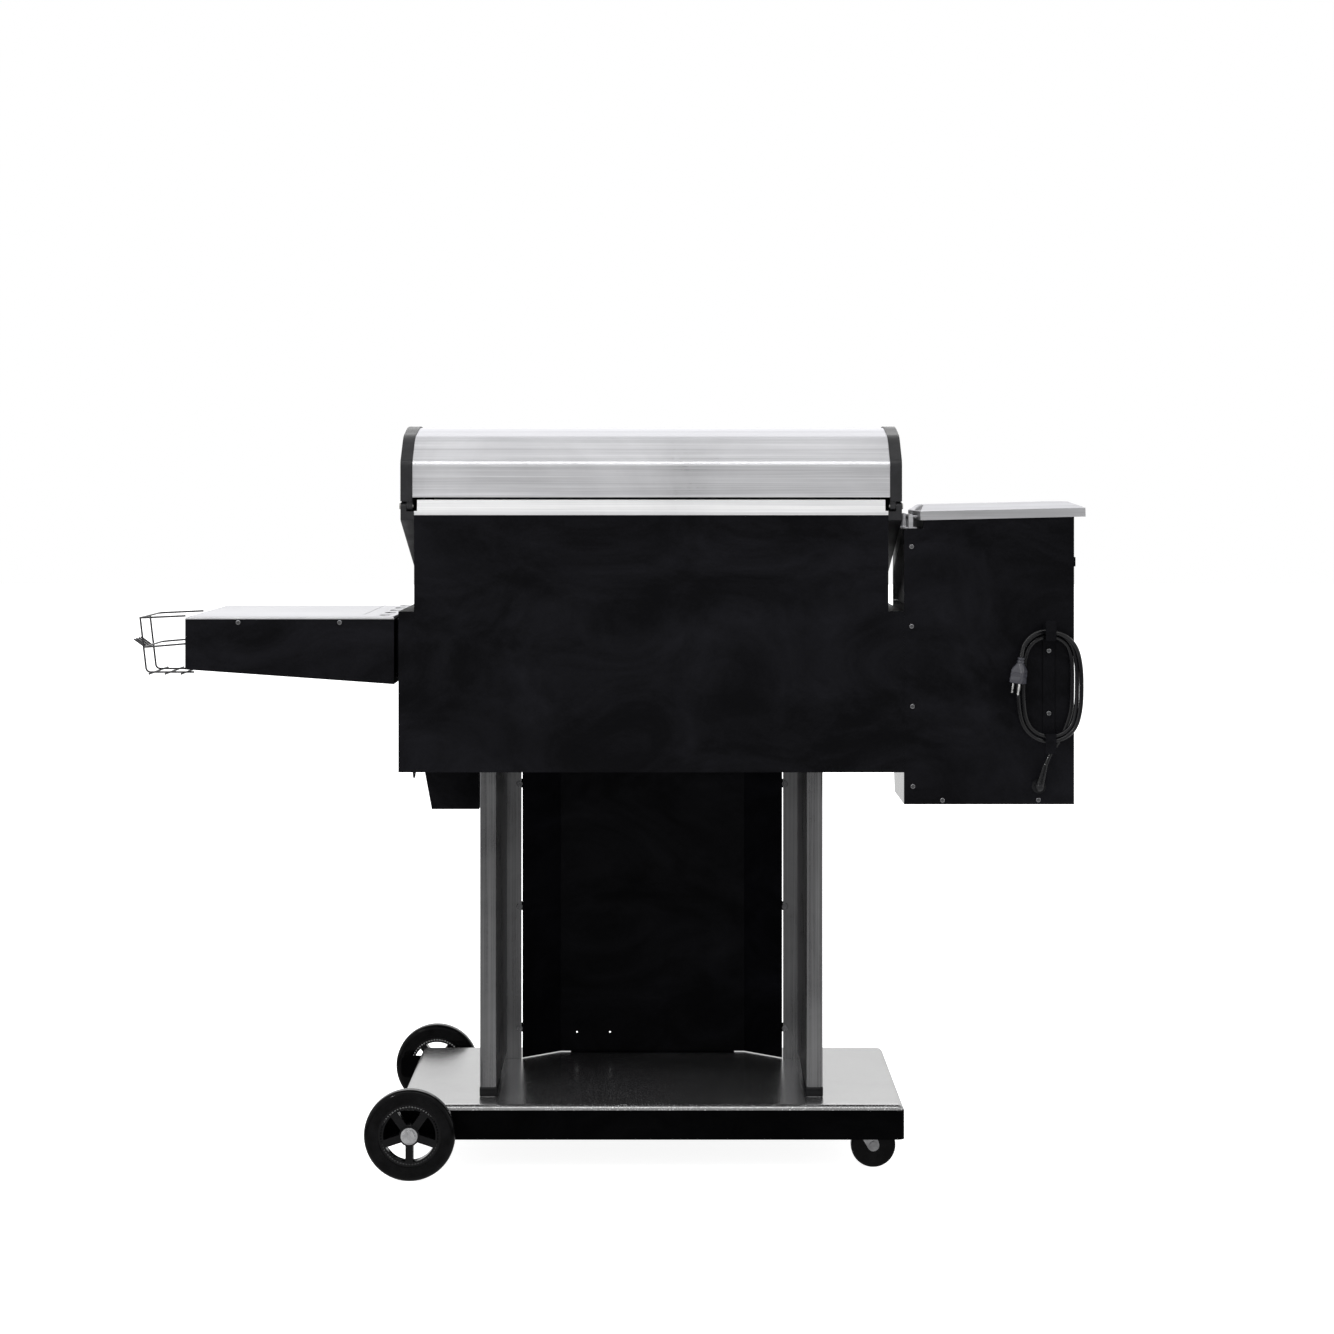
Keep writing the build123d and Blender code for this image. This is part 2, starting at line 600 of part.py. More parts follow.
FAN_Y = (DUCT_Y[0] - 4, DUCT_Y[1] + 4)
with BuildPart() as blower_housing:
    rod((BLOWER_X, FAN_Y[0], BLOWER_Z), (BLOWER_X, FAN_Y[1], BLOWER_Z), 40)
    slab((BLOWER_X, HOPPER_IN_X - SHEET), FAN_Y, (DUCT_Z[0] - 4, DUCT_Z[1]))
    rod((BLOWER_X, DUCT_Y[0], BLOWER_Z), (BLOWER_X, DUCT_Y[1], BLOWER_Z), 37, mode=Mode.SUBTRACT)
    slab(
        (BLOWER_X, HOPPER_IN_X + 1),
        DUCT_Y,
        (DUCT_Z[0], DUCT_Z[1] - 4),
        mode=Mode.SUBTRACT,
    )
    rod((BLOWER_X, DUCT_Y[1] - 1, BLOWER_Z), (BLOWER_X, FAN_Y[1] + 1, BLOWER_Z), 20, mode=Mode.SUBTRACT)
    rod((BLOWER_X, FAN_Y[0], BLOWER_Z), (BLOWER_X, DUCT_Y[0] + 20, BLOWER_Z), 3)
save(blower_housing, "blower_housing")

with BuildPart() as fan_impeller:
    fan_start = DUCT_Y[0] + GAP
    rod((BLOWER_X, fan_start, BLOWER_Z), (BLOWER_X, fan_start + 2, BLOWER_Z), 33)
    rod((BLOWER_X, fan_start, BLOWER_Z), (BLOWER_X, fan_start + 24, BLOWER_Z), 8)
    for blade in range(12):
        angle = radians(blade * 30)
        with Locations(
            Location(
                (BLOWER_X + 27 * cos(angle), fan_start + 13, BLOWER_Z + 27 * sin(angle)),
                (0, -blade * 30, 0),
            )
        ):
            Box(12, 24, 1.6)
    rod((BLOWER_X, fan_start - 1, BLOWER_Z), (BLOWER_X, fan_start + 20.5, BLOWER_Z), 3 + RUNNING_FIT,
        mode=Mode.SUBTRACT)
save(fan_impeller, "fan_impeller")

with BuildPart() as heat_baffle:
    slab((BX - 170, BX + 170), (FIRE_Y - 110, FIRE_Y + 110), (818, 820))
    for side in (-1, 1):
        slab((BX + side * 168, BX + side * 170), (FIRE_Y - 110, FIRE_Y + 110), (805, 820))
        for foot_y in (FIRE_Y - 90, FIRE_Y + 90):
            slab(
                (BX + side * 168, BX + side * 170),
                (foot_y - 15, foot_y + 15),
                (FLOOR_Z + SHEET, 820),
            )
save(heat_baffle, "heat_baffle")

with BuildPart() as drip_tray:
    slab((BX - 423, BX + 423), (-266, 226), (TRAY_LEDGE_Z, TRAY_LEDGE_Z + 14))
    slab(
        (BX - 421, BX + 421),
        (-264, 224),
        (TRAY_LEDGE_Z + SHEET, TRAY_LEDGE_Z + 15),
        mode=Mode.SUBTRACT,
    )
    rod((SPOUT_X, SPOUT_Y, TRAY_LEDGE_Z), (SPOUT_X, SPOUT_Y, 668), 18)
    rod((SPOUT_X, SPOUT_Y, TRAY_LEDGE_Z + 3), (SPOUT_X, SPOUT_Y, 667), 16, mode=Mode.SUBTRACT)
save(drip_tray, "drip_tray")

GRATE_BARS = 33
GRATE_Z = GRATE_LEDGE_Z + 3
with BuildPart() as cooking_grate:
    for bar in range(GRATE_BARS):
        x = BX - 416 + bar * 832 / (GRATE_BARS - 1)
        rod((x, -262, GRATE_Z), (x, 222, GRATE_Z), 3)
    for y in (-250, -20, 210):
        rod((BX - 423, y, GRATE_Z), (BX + 423, y, GRATE_Z), 3)
save(cooking_grate, "cooking_grate")

# ---------------------------------------------------------------- grease drawer under the firebox

RAIL_IN_X = BX + 294.0
RAIL_OUT_X = BX + 408.0
DRAWER_Y = (-276.0, 40.0)
RIM_Z = 657.0
with BuildPart() as drawer_rails:
    for web_x, lip in ((RAIL_IN_X, 1), (RAIL_OUT_X, -1)):
        slab((web_x, web_x + lip * SHEET), (-262, DRAWER_Y[1]), (RIM_Z - SHEET, FLOOR_Z))
        slab((web_x, web_x + lip * 8), (-262, DRAWER_Y[1]), (RIM_Z - SHEET, RIM_Z))
save(drawer_rails, "drawer_rails")

PAN_TOP = (RAIL_IN_X + 9.0, RAIL_OUT_X - 9.0)
PAN_BOTTOM = (RAIL_IN_X + 9.0, RAIL_OUT_X - 22.0)
PAN_Z = 590.0
with BuildPart() as grease_drawer:
    with BuildSketch(Plane.XZ.offset(-DRAWER_Y[1])) as pan_end:
        with BuildLine():
            Polyline(
                (PAN_BOTTOM[0], PAN_Z),
                (PAN_BOTTOM[1], PAN_Z),
                (PAN_TOP[1], RIM_Z + GAP + SHEET),
                (PAN_TOP[0], RIM_Z + GAP + SHEET),
                close=True,
            )
        make_face()
    extrude(pan_end.sketch, amount=DRAWER_Y[1] - DRAWER_Y[0])
    offset(amount=-SHEET, openings=grease_drawer.faces().sort_by(Axis.Z)[-1])
    slab(
        (RAIL_IN_X + SHEET + 0.6, PAN_TOP[0] + 1),
        (-262, DRAWER_Y[1]),
        (RIM_Z + GAP, RIM_Z + GAP + SHEET),
    )
    slab(
        (PAN_TOP[1] - 1, RAIL_OUT_X - SHEET - 0.6),
        (-262, DRAWER_Y[1]),
        (RIM_Z + GAP, RIM_Z + GAP + SHEET),
    )
    slab((PAN_TOP[0] + 20, PAN_TOP[1] - 20), (-296, DRAWER_Y[0]), (640, 643))
    slab((PAN_TOP[0] + 20, PAN_TOP[1] - 20), (-296, -293), (628, 643))
save(grease_drawer, "grease_drawer")

with BuildPart() as bucket_hook:
    hook_x = BX + 419.0
    bent_wire(
        [(hook_x, 0, FLOOR_Z), (hook_x, 0, 650), (hook_x, 16, 643), (hook_x, 24, 656)],
        4,
        radius=2,
    )
save(bucket_hook, "bucket_hook")

# ---------------------------------------------------------------- hopper


def hopper_outline(inset):
    """Side outline of the hopper: square at the back, cut back low at the front."""
    return [
        (REAR_Y - SHEET, HOPPER_BOTTOM + inset),
        (20 + inset * 0.6, HOPPER_BOTTOM + inset),
        (HOPPER_FRONT_Y + inset, 700 + inset * 0.6),
        (HOPPER_FRONT_Y + inset, HOPPER_LEDGE_Z - inset),
        (REAR_Y - SHEET, HOPPER_LEDGE_Z - inset),
    ]


with BuildPart() as hopper_shell:
    prism_x(hopper_outline(0), (HOPPER_IN_X, HOPPER_OUT_X))
    slab((NECK_X, HOPPER_OUT_X), (HOPPER_FRONT_Y, REAR_Y - SHEET), (HOPPER_LEDGE_Z - 5, NECK_TOP))
    prism_x(hopper_outline(SHEET), (HOPPER_IN_X - SHEET, HOPPER_OUT_X + SHEET), mode=Mode.SUBTRACT)
    slab(
        (NECK_X - SHEET, HOPPER_OUT_X + SHEET),
        (HOPPER_FRONT_Y + SHEET, REAR_Y - SHEET),
        (HOPPER_LEDGE_Z - 10, NECK_TOP + 1),
        mode=Mode.SUBTRACT,
    )
    rod(
        (HOPPER_IN_X - 4, FIRE_Y, AUGER_Z),
        (HOPPER_IN_X + 1, FIRE_Y, AUGER_Z),
        AUGER_TUBE_RADIUS,
        mode=Mode.SUBTRACT,
    )
    slab((HOPPER_IN_X - 4, HOPPER_IN_X + 1), DUCT_Y, (DUCT_Z[0], DUCT_Z[1] - 4), mode=Mode.SUBTRACT)
save(hopper_shell, "hopper_shell")

GLAND_X = BX - 655.0
GLAND_Z = 650.0
with BuildPart() as hopper_rear_panel:
    slab((HOPPER_IN_X, HOPPER_OUT_X), (REAR_Y - SHEET, REAR_Y), (HOPPER_BOTTOM, HOPPER_LEDGE_Z))
    slab((NECK_X, HOPPER_OUT_X), (REAR_Y - SHEET, REAR_Y), (HOPPER_LEDGE_Z - 5, NECK_TOP))
    rod((GLAND_X, REAR_Y - 4, GLAND_Z), (GLAND_X, REAR_Y + 1, GLAND_Z), 6, mode=Mode.SUBTRACT)
save(hopper_rear_panel, "hopper_rear_panel")

FUNNEL_TOP = 960.0
FUNNEL_BOTTOM = AUGER_Z + AUGER_TUBE_RADIUS + 1
CHUTE_X = BX - 550.0
bin_x = (HOPPER_IN_X + HOPPER_OUT_X) / 2
bin_y = (HOPPER_FRONT_Y + REAR_Y) / 2
with BuildPart() as hopper_funnel:
    for inset, mode in ((0.0, Mode.ADD), (SHEET, Mode.SUBTRACT)):
        with BuildSketch(Plane.XY.offset(FUNNEL_TOP)) as mouth:
            with Locations((bin_x, bin_y)):
                Rectangle(281 - 2 * inset, 258 - 2 * inset)
        with BuildSketch(Plane.XY.offset(FUNNEL_BOTTOM)) as throat:
            with Locations((CHUTE_X, FIRE_Y)):
                Rectangle(100 - 2 * inset, 42 - 2 * inset)
        loft([throat.sketch.face(), mouth.sketch.face()], mode=mode)
save(hopper_funnel, "hopper_funnel")

HINGE_LEAVES = ((20.0, 60.0), (150.0, 190.0))
with BuildPart() as hopper_hinge:
    for leaf_y in HINGE_LEAVES:
        slab((BIN_HINGE_X - 10, BIN_HINGE_X + 10), (leaf_y[0] - 12, leaf_y[1] + 12),
             (HOPPER_LEDGE_Z, HOPPER_LEDGE_Z + SHEET))
        for y in ((leaf_y[0] - 10, leaf_y[0] - 2), (leaf_y[1] + 2, leaf_y[1] + 10)):
            slab((BIN_HINGE_X - 4, BIN_HINGE_X + 4), y, (HOPPER_LEDGE_Z, BIN_HINGE_Z))
            rod((BIN_HINGE_X, y[0], BIN_HINGE_Z), (BIN_HINGE_X, y[1], BIN_HINGE_Z), 4)
        rod(
            (BIN_HINGE_X, leaf_y[0] - 10, BIN_HINGE_Z),
            (BIN_HINGE_X, leaf_y[1] + 10, BIN_HINGE_Z),
            2.5,
        )
save(hopper_hinge, "hopper_hinge")

# The bin lid is drawn level about its hinge and then tipped to its closed angle.
LID_REACH = 292.0
lid_plane = Plane(origin=(BIN_HINGE_X, 0, BIN_HINGE_Z)).rotated((0, BIN_LID_TILT, 0))
SKIRT = (-13.0, -LID_REACH)
LID_Y = (-27.0, 243.0)
with BuildPart(lid_plane) as hopper_lid:
    with Locations(((SKIRT[0] + SKIRT[1]) / 2, (LID_Y[0] + LID_Y[1]) / 2, 1.5)):
        Box(LID_REACH - 13, LID_Y[1] - LID_Y[0], 15)
    with BuildSketch(lid_plane.offset(9)) as crown_foot:
        with Locations(((SKIRT[0] + SKIRT[1]) / 2, (LID_Y[0] + LID_Y[1]) / 2)):
            Rectangle(LID_REACH - 13, LID_Y[1] - LID_Y[0])
    with BuildSketch(lid_plane.offset(19)) as crown_top:
        with Locations(((SKIRT[0] + SKIRT[1]) / 2, (LID_Y[0] + LID_Y[1]) / 2 - 50)):
            Rectangle(LID_REACH - 43, LID_Y[1] - LID_Y[0] - 130)
    loft([crown_foot.sketch.face(), crown_top.sketch.face()])
    with Locations(((SKIRT[0] + SKIRT[1]) / 2, (LID_Y[0] + LID_Y[1]) / 2, 0.5)):
        Box(LID_REACH - 17, LID_Y[1] - LID_Y[0] - 4, 13, mode=Mode.SUBTRACT)
    for leaf_y in HINGE_LEAVES:
        with Locations((-8, (leaf_y[0] + leaf_y[1]) / 2, 0)):
            Box(12, leaf_y[1] - leaf_y[0], 3)
        with Locations(Location((0, (leaf_y[0] + leaf_y[1]) / 2, 0), (90, 0, 0))):
            Cylinder(4.5, leaf_y[1] - leaf_y[0])
            Cylinder(2.5 + RUNNING_FIT, 60, mode=Mode.SUBTRACT)
save(hopper_lid, "hopper_lid")

with BuildPart() as tool_bracket:
    slab((HOPPER_OUT_X, HOPPER_OUT_X - SHEET), (96, 120), (1018, 1056))
    slab((HOPPER_OUT_X, HOPPER_OUT_X - 18), (96, 120), (1018, 1020))
    slab((HOPPER_OUT_X - 16, HOPPER_OUT_X - 18), (96, 120), (1018, 1034))
save(tool_bracket, "tool_bracket")

# ---------------------------------------------------------------- controller on the hopper's front

PANEL_X = (BX - 452.0, BX - 692.0)
PANEL_FRONT_Y = HOPPER_FRONT_Y - 28.0
KNOB_X = BX - 640.0
KNOB_Z = 950.0
BUTTON_Z = 905.0
with BuildPart() as controller_panel:
    slab(PANEL_X, (PANEL_FRONT_Y, HOPPER_FRONT_Y), (880, 1045))
    fillet(controller_panel.edges().filter_by(Axis.Y), 8)
    chamfer(controller_panel.faces().sort_by(Axis.Y)[0].edges(), 3)
    slab((BX - 480, BX - 590), (PANEL_FRONT_Y - 1, PANEL_FRONT_Y + 2), (950, 1015), mode=Mode.SUBTRACT)
    slab(
        (KNOB_X - 13, KNOB_X + 13),
        (PANEL_FRONT_Y - 1, PANEL_FRONT_Y + 10),
        (BUTTON_Z - 9, BUTTON_Z + 9),
        mode=Mode.SUBTRACT,
    )
    rod((KNOB_X, PANEL_FRONT_Y + 1, KNOB_Z), (KNOB_X, PANEL_FRONT_Y - 12, KNOB_Z), 3)
save(controller_panel, "controller_panel")

with BuildPart() as controller_knob:
    rod((KNOB_X, PANEL_FRONT_Y - GAP, KNOB_Z), (KNOB_X, PANEL_FRONT_Y - 18, KNOB_Z), 20)
    fillet(controller_knob.edges().sort_by(Axis.Y)[0], 2)
    slab((KNOB_X - 1, KNOB_X + 1), (PANEL_FRONT_Y - 20, PANEL_FRONT_Y - 17), (KNOB_Z + 8, KNOB_Z + 22),
         mode=Mode.SUBTRACT)
    rod(
        (KNOB_X, PANEL_FRONT_Y, KNOB_Z),
        (KNOB_X, PANEL_FRONT_Y - 13, KNOB_Z),
        3 + RUNNING_FIT,
        mode=Mode.SUBTRACT,
    )
save(controller_knob, "controller_knob")

with BuildPart() as power_button:
    slab((KNOB_X - 12.5, KNOB_X + 12.5), (PANEL_FRONT_Y - 3.5, PANEL_FRONT_Y + 6), (BUTTON_Z - 8.5, BUTTON_Z + 8.5))
    fillet(power_button.faces().sort_by(Axis.Y)[0].edges(), 1.5)
save(power_button, "power_button")

# ---------------------------------------------------------------- side table

with BuildPart() as table_top:
    slab((TABLE_IN_X, TABLE_OUT_X), (TABLE_FRONT_Y, REAR_Y), (TABLE_TOP - 4, TABLE_TOP))
    fillet(table_top.faces().sort_by(Axis.Z)[-1].edges(), 3)
    for vent in range(5):
        with BuildSketch(Plane.XY.offset(TABLE_TOP + 1)) as slot:
            with Locations(Location((BX + 456, 168 - vent * 101, 0), 90)):
                SlotOverall(40, 18)
        extrude(slot.sketch, amount=-8, mode=Mode.SUBTRACT)
    slab((BX + 493.4, BX + 494.6), (-260, 152), (TABLE_TOP - 1, TABLE_TOP + 1), mode=Mode.SUBTRACT)
save(table_top, "table_top")

with BuildPart() as table_frame:
    for inset, mode in ((0.0, Mode.ADD), (SHEET, Mode.SUBTRACT)):
        with BuildSketch(Plane.XZ.offset(-REAR_Y + inset)) as apron:
            with BuildLine():
                Polyline(
                    (TABLE_IN_X + inset, TABLE_TOP - 4 + inset),
                    (TABLE_IN_X + inset, TABLE_TOP - 114 - inset * 2),
                    (TABLE_OUT_X - inset, TABLE_TOP - 89 - inset * 2),
                    (TABLE_OUT_X - inset, TABLE_TOP - 4 + inset),
                    close=True,
                )
            make_face()
        extrude(apron.sketch, amount=REAR_Y - TABLE_FRONT_Y - 2 * inset, mode=mode)
save(table_frame, "table_frame")

HOUSING_SIDE_X = BX + HOUSING_HALF_X
with BuildPart() as table_brackets:
    for y in (-190, 170):
        slab((HOUSING_SIDE_X, TABLE_IN_X), (y - 20, y + 20), (836, 930))
    rod_x = HOUSING_SIDE_X + 3.6
    bent_wire(
        [(HOUSING_SIDE_X, 216, 912), (rod_x, 216, 912), (rod_x, 216, 850), (HOUSING_SIDE_X, 216, 850)],
        1.7,
        radius=1.5,
    )
save(table_brackets, "table_brackets")

# ---------------------------------------------------------------- wire basket at the table's end

BASKET_Y = (26.0, 237.0)
RIM_REACH = 868.0
RIM_HEIGHTS = (937.5, 934.0)
MIDDLE_REACH = 862.4
MIDDLE_HEIGHTS = (890.0, 884.0)
BOTTOM_REACH = 857.0
BOTTOM_Z = 841.3
WELD_OFFSET = 2.3  # between the axes of two wires where they cross


def basket_ring(reach, heights, inset):
    """A wire round three sides of the basket, its ends at the table's end wall."""
    inset = inset + WELD_OFFSET
    reach = reach - WELD_OFFSET
    bent_wire(
        [
            (TABLE_OUT_X, BASKET_Y[1] - inset, heights[0]),
            (BX + reach, BASKET_Y[1] - inset, heights[1]),
            (BX + reach, BASKET_Y[0] + inset, heights[1]),
            (TABLE_OUT_X, BASKET_Y[0] + inset, heights[0]),
        ],
        15,
    )


with BuildPart() as wire_basket:
    basket_ring(RIM_REACH, RIM_HEIGHTS, 0)
    basket_ring(MIDDLE_REACH, MIDDLE_HEIGHTS, 4.2)
    for y in (115.0, 217.0):
        bent_wire(
            [
                (BX + RIM_REACH, y, RIM_HEIGHTS[1] + 1),
                (BX + BOTTOM_REACH, y, BOTTOM_Z),
                (TABLE_OUT_X - 12, y, BOTTOM_Z),
            ],
            8,
        )
    for x in (795.5, 822.6, 850.0):
        rod(
            (BX + x, BASKET_Y[0] + 8, BOTTOM_Z - WELD_OFFSET),
            (BX + x, BASKET_Y[1] - 5, BOTTOM_Z - WELD_OFFSET),
            WIRE_RADIUS,
        )
    for y in (136.0, 160.0, 184.0, 206.0):
        rod((BX + MIDDLE_REACH - 0.5, y, MIDDLE_HEIGHTS[1]), (BX + 880, y, MIDDLE_HEIGHTS[1] + 13), WIRE_RADIUS)
save(wire_basket, "wire_basket")

# ---------------------------------------------------------------- power cord

BRACKET_FRONT_Y = 272.0
TOP_SHELF = (897.0, 899.5)
LOW_SHELF = (738.5, 741.0)
with BuildPart() as cord_bracket:
    slab((COIL_X - 10, COIL_X + 10), (REAR_Y, REAR_Y + 2.5), (728, 925))
    for shelf, plate in ((TOP_SHELF, (TOP_SHELF[0], 931)), (LOW_SHELF, (707, LOW_SHELF[1]))):
        slab((COIL_X - 9, COIL_X + 9), (REAR_Y, BRACKET_FRONT_Y + 2.5), shelf)
        slab((COIL_X - 9, COIL_X + 9), (BRACKET_FRONT_Y, BRACKET_FRONT_Y + 2.5), plate)
save(cord_bracket, "cord_bracket")

SCREW_SITES = [
    (BX - 440.2, 1054.7),
    (BX - 440.2, 920.1),
    (BX - 441.6, 784.6),
    (BX - 442.4, 649.4),
    (BX - 492.3, 626.0),
    (BX - 654.5, 626.6),
    (BX + 526.8, 926.5),
    (BX + 698.3, 926.5),
]
BRACKET_SCREWS = [(COIL_X, 879.0), (COIL_X, 773.0)]
with BuildPart() as panel_screws:
    for seat, sites in ((REAR_Y, SCREW_SITES), (REAR_Y + 2.5, BRACKET_SCREWS)):
        for x, z in sites:
            rod((x, seat, z), (x, seat + 2.2, z), 4.2)
        rims = panel_screws.edges().filter_by(GeomType.CIRCLE)
        fillet(rims.filter_by_position(Axis.Y, seat + 2.1, seat + 2.3), 1.5)
save(panel_screws, "panel_screws")

EXIT_TILT = radians(15)
EXIT_Y = 254.0
EXIT_LENGTH = 20.0
exit_point = (GLAND_X - EXIT_LENGTH * sin(EXIT_TILT), EXIT_Y, GLAND_Z + EXIT_LENGTH * cos(EXIT_TILT))
with BuildPart() as cord_gland:
    rod((GLAND_X, REAR_Y - 6, GLAND_Z), (GLAND_X, REAR_Y, GLAND_Z), 6)
    rod((GLAND_X, REAR_Y, GLAND_Z), (GLAND_X, REAR_Y + 4, GLAND_Z), 12)
    rod((GLAND_X, REAR_Y + 4, GLAND_Z), (GLAND_X, EXIT_Y, GLAND_Z), 8)
    with Locations((GLAND_X, EXIT_Y, GLAND_Z)):
        Sphere(8)
    rod((GLAND_X, EXIT_Y, GLAND_Z), exit_point, 6)
save(cord_gland, "cord_gland")

with BuildPart() as cord_coil:
    with BuildSketch(Plane.XZ.offset(-COIL_REAR_Y)) as oval:
        with Locations((COIL_X, COIL_Z)):
            SlotOverall(2 * COIL_HALF_Z, 2 * COIL_HALF_X, rotation=90)
            SlotOverall(
                2 * (COIL_HALF_Z - COIL_BUNDLE),
                2 * (COIL_HALF_X - COIL_BUNDLE),
                rotation=90,
                mode=Mode.SUBTRACT,
            )
    extrude(oval.sketch, amount=COIL_BUNDLE)
save(cord_coil, "cord_coil")

PLUG_TILT = radians(8)
PLUG_Y = 272.0
collar = (BX - 622.0, PLUG_Y, 869.0)
plug_axis = Vector(sin(PLUG_TILT), 0, -cos(PLUG_TILT))
LEAD_IN = [
    exit_point,
    (BX - 668.0, 254.0, 697.0),
    (BX - 683.0, 253.0, 719.0),
    (BX - 699.0, 252.0, 737.0),
]

# The plug's lead bends down from the top of the coil in even steps that end along the plug.
LEAD_RUN = 12.0
LEAD_TURNS = 4
LEAD_FIRST_TILT = 20.0
LEAD_LAST_TILT = 82.0
LEAD_START_Y = 257.0
LEAD_OUT = [collar]
for step in range(LEAD_TURNS + 1):
    tilt = radians(LEAD_LAST_TILT - step * (LEAD_LAST_TILT - LEAD_FIRST_TILT) / LEAD_TURNS)
    ahead = LEAD_OUT[0]
    rise_y = (PLUG_Y - LEAD_START_Y) / (LEAD_TURNS + 1)
    behind = (ahead[0] - LEAD_RUN * cos(tilt), ahead[1] - rise_y, ahead[2] + LEAD_RUN * sin(tilt))
    LEAD_OUT = [behind] + LEAD_OUT


def cord_bends(points):
    """The largest even bend at each inner point of a cord's route."""
    bends = []
    for before, here, after in zip(points, points[1:], points[2:]):
        run_in = Vector(*here) - Vector(*before)
        run_out = Vector(*after) - Vector(*here)
        turn = radians(run_in.get_angle(run_out))
        bends.append(0.45 * min(run_in.length, run_out.length) / tan(turn / 2))
    return bends


with BuildPart() as power_cord:
    for route in (LEAD_IN, LEAD_OUT):
        bends = cord_bends(route)
        print("cord bend radii, mm:", [round(bend, 1) for bend in bends])
        bent_wire(route, bends, radius=CORD_RADIUS)
save(power_cord, "power_cord")

plug_plane = Plane(origin=collar, x_dir=(0, 1, 0), z_dir=plug_axis)
with BuildPart(plug_plane) as plug:
    with BuildSketch(plug_plane) as collar_end:
        Circle(6.5)
    with BuildSketch(plug_plane.offset(16)) as body_end:
        RectangleRounded(20, 24, 6)
    loft([collar_end.sketch.face(), body_end.sketch.face()])
    extrude(body_end.sketch, amount=28)
    with Locations((-2, -6.35, 44 + 8.5), (-2, 6.35, 44 + 8.5)):
        Box(6.35, 1.5, 17)
    with Locations((5.6, 0, 44 + 10)):
        Cylinder(2.4, 20)
save(plug, "plug")
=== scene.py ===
import json
import math

import bmesh
import bpy
from mathutils import Matrix, Vector


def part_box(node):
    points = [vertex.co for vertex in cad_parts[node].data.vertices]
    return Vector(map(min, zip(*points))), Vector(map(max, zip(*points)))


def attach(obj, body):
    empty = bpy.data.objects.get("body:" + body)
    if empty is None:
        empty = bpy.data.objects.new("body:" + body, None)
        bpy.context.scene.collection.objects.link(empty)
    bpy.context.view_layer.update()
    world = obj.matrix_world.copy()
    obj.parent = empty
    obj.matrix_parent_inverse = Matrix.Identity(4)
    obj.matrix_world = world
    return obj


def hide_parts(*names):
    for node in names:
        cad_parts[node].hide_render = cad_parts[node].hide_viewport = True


# Looks of a pellet smoker grill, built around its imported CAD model.
# Metres, +Z up, front -Y, side table +X, hopper -X, floor at Z = 0.

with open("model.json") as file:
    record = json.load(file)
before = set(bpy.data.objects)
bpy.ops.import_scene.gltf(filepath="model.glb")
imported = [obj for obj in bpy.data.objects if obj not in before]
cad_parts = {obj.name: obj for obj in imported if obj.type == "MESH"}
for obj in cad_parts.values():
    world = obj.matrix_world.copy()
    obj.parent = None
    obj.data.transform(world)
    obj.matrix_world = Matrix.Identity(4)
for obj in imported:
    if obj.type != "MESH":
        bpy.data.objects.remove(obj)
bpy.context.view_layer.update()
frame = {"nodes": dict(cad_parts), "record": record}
nodes = frame["nodes"]
scene = bpy.context.scene
BX = -0.0735  # the barrel's middle


# ---------------------------------------------------------------- camera: level, straight on the rear

camera_data = bpy.data.cameras.new("camera")
camera_data.sensor_width = 36.0
camera_data.lens = 84.6
camera_data.shift_y = -0.1387
camera_data.clip_end = 100.0
camera = bpy.data.objects.new("camera", camera_data)
camera.location = (BX - 0.0267, 5.540, 1.164)
camera.rotation_euler = (math.radians(90), 0, math.radians(180))
scene.collection.objects.link(camera)
scene.camera = camera


# ---------------------------------------------------------------- power cord

CORD_DIAMETER = 0.0075
# A curve's box grows by its points' radius, so the radius is small and the bevel makes it up.
POINT_RADIUS = 0.01
COIL_X = BX - 0.672
COIL_Z = 0.819
EXIT_TILT = math.radians(15)
EXIT = (BX - 0.655 - 0.020 * math.sin(EXIT_TILT), 0.254, 0.650 + 0.020 * math.cos(EXIT_TILT))
LEAD_IN = [
    EXIT,
    (BX - 0.668, 0.252, 0.697),
    (BX - 0.683, 0.2485, 0.7185),
    (BX - 0.697, 0.247, 0.741),
]
COLLAR = (BX - 0.622, 0.272, 0.869)
LEAD_SPACING = 0.012
LEAD_OUT = [COLLAR]
for lead_step in range(5):
    lead_tilt = math.radians(82.0 - lead_step * 15.5)
    x, y, z = LEAD_OUT[0]
    behind = (x - LEAD_SPACING * math.cos(lead_tilt), y - 0.003, z + LEAD_SPACING * math.sin(lead_tilt))
    LEAD_OUT = [behind] + LEAD_OUT

# A turn of the coil has 16 stations: 0 at the bottom, 4 towards -X, 8 at the top, 12 towards +X.
# Each turn is wider than the one before, and the layers pass in front of each other.
STATIONS = [
    (0, -1, -1), (-0.5, -0.866, -1), (-0.866, -0.5, -1), (-1.01, 0, -0.85),
    (-1.03, 0, 0), (-1.01, 0, 0.85), (-0.866, 0.5, 1), (-0.5, 0.866, 1),
    (0, 1, 1), (0.5, 0.866, 1), (0.866, 0.5, 1), (1.01, 0, 0.85),
    (1.03, 0, 0), (1.01, 0, -0.85), (0.866, -0.5, -1), (0.5, -0.866, -1),
]
HALF_WIDTHS = [(4, 37.5), (12, 43.0), (20, 45.3), (28, 51.5), (36, 52.2), (44, 52.2)]
HALF_HEIGHTS = [(0, 85.5), (16, 85.5), (24, 94.5), (32, 94.5), (40, 93.5)]
DEPTHS = [(0, 248.0), (4, 248.0), (8, 247.4), (12, 251.0), (16, 256.0), (20, 250.5),
          (24, 248.0), (28, 251.0), (32, 256.0), (36, 255.5), (40, 256.2)]


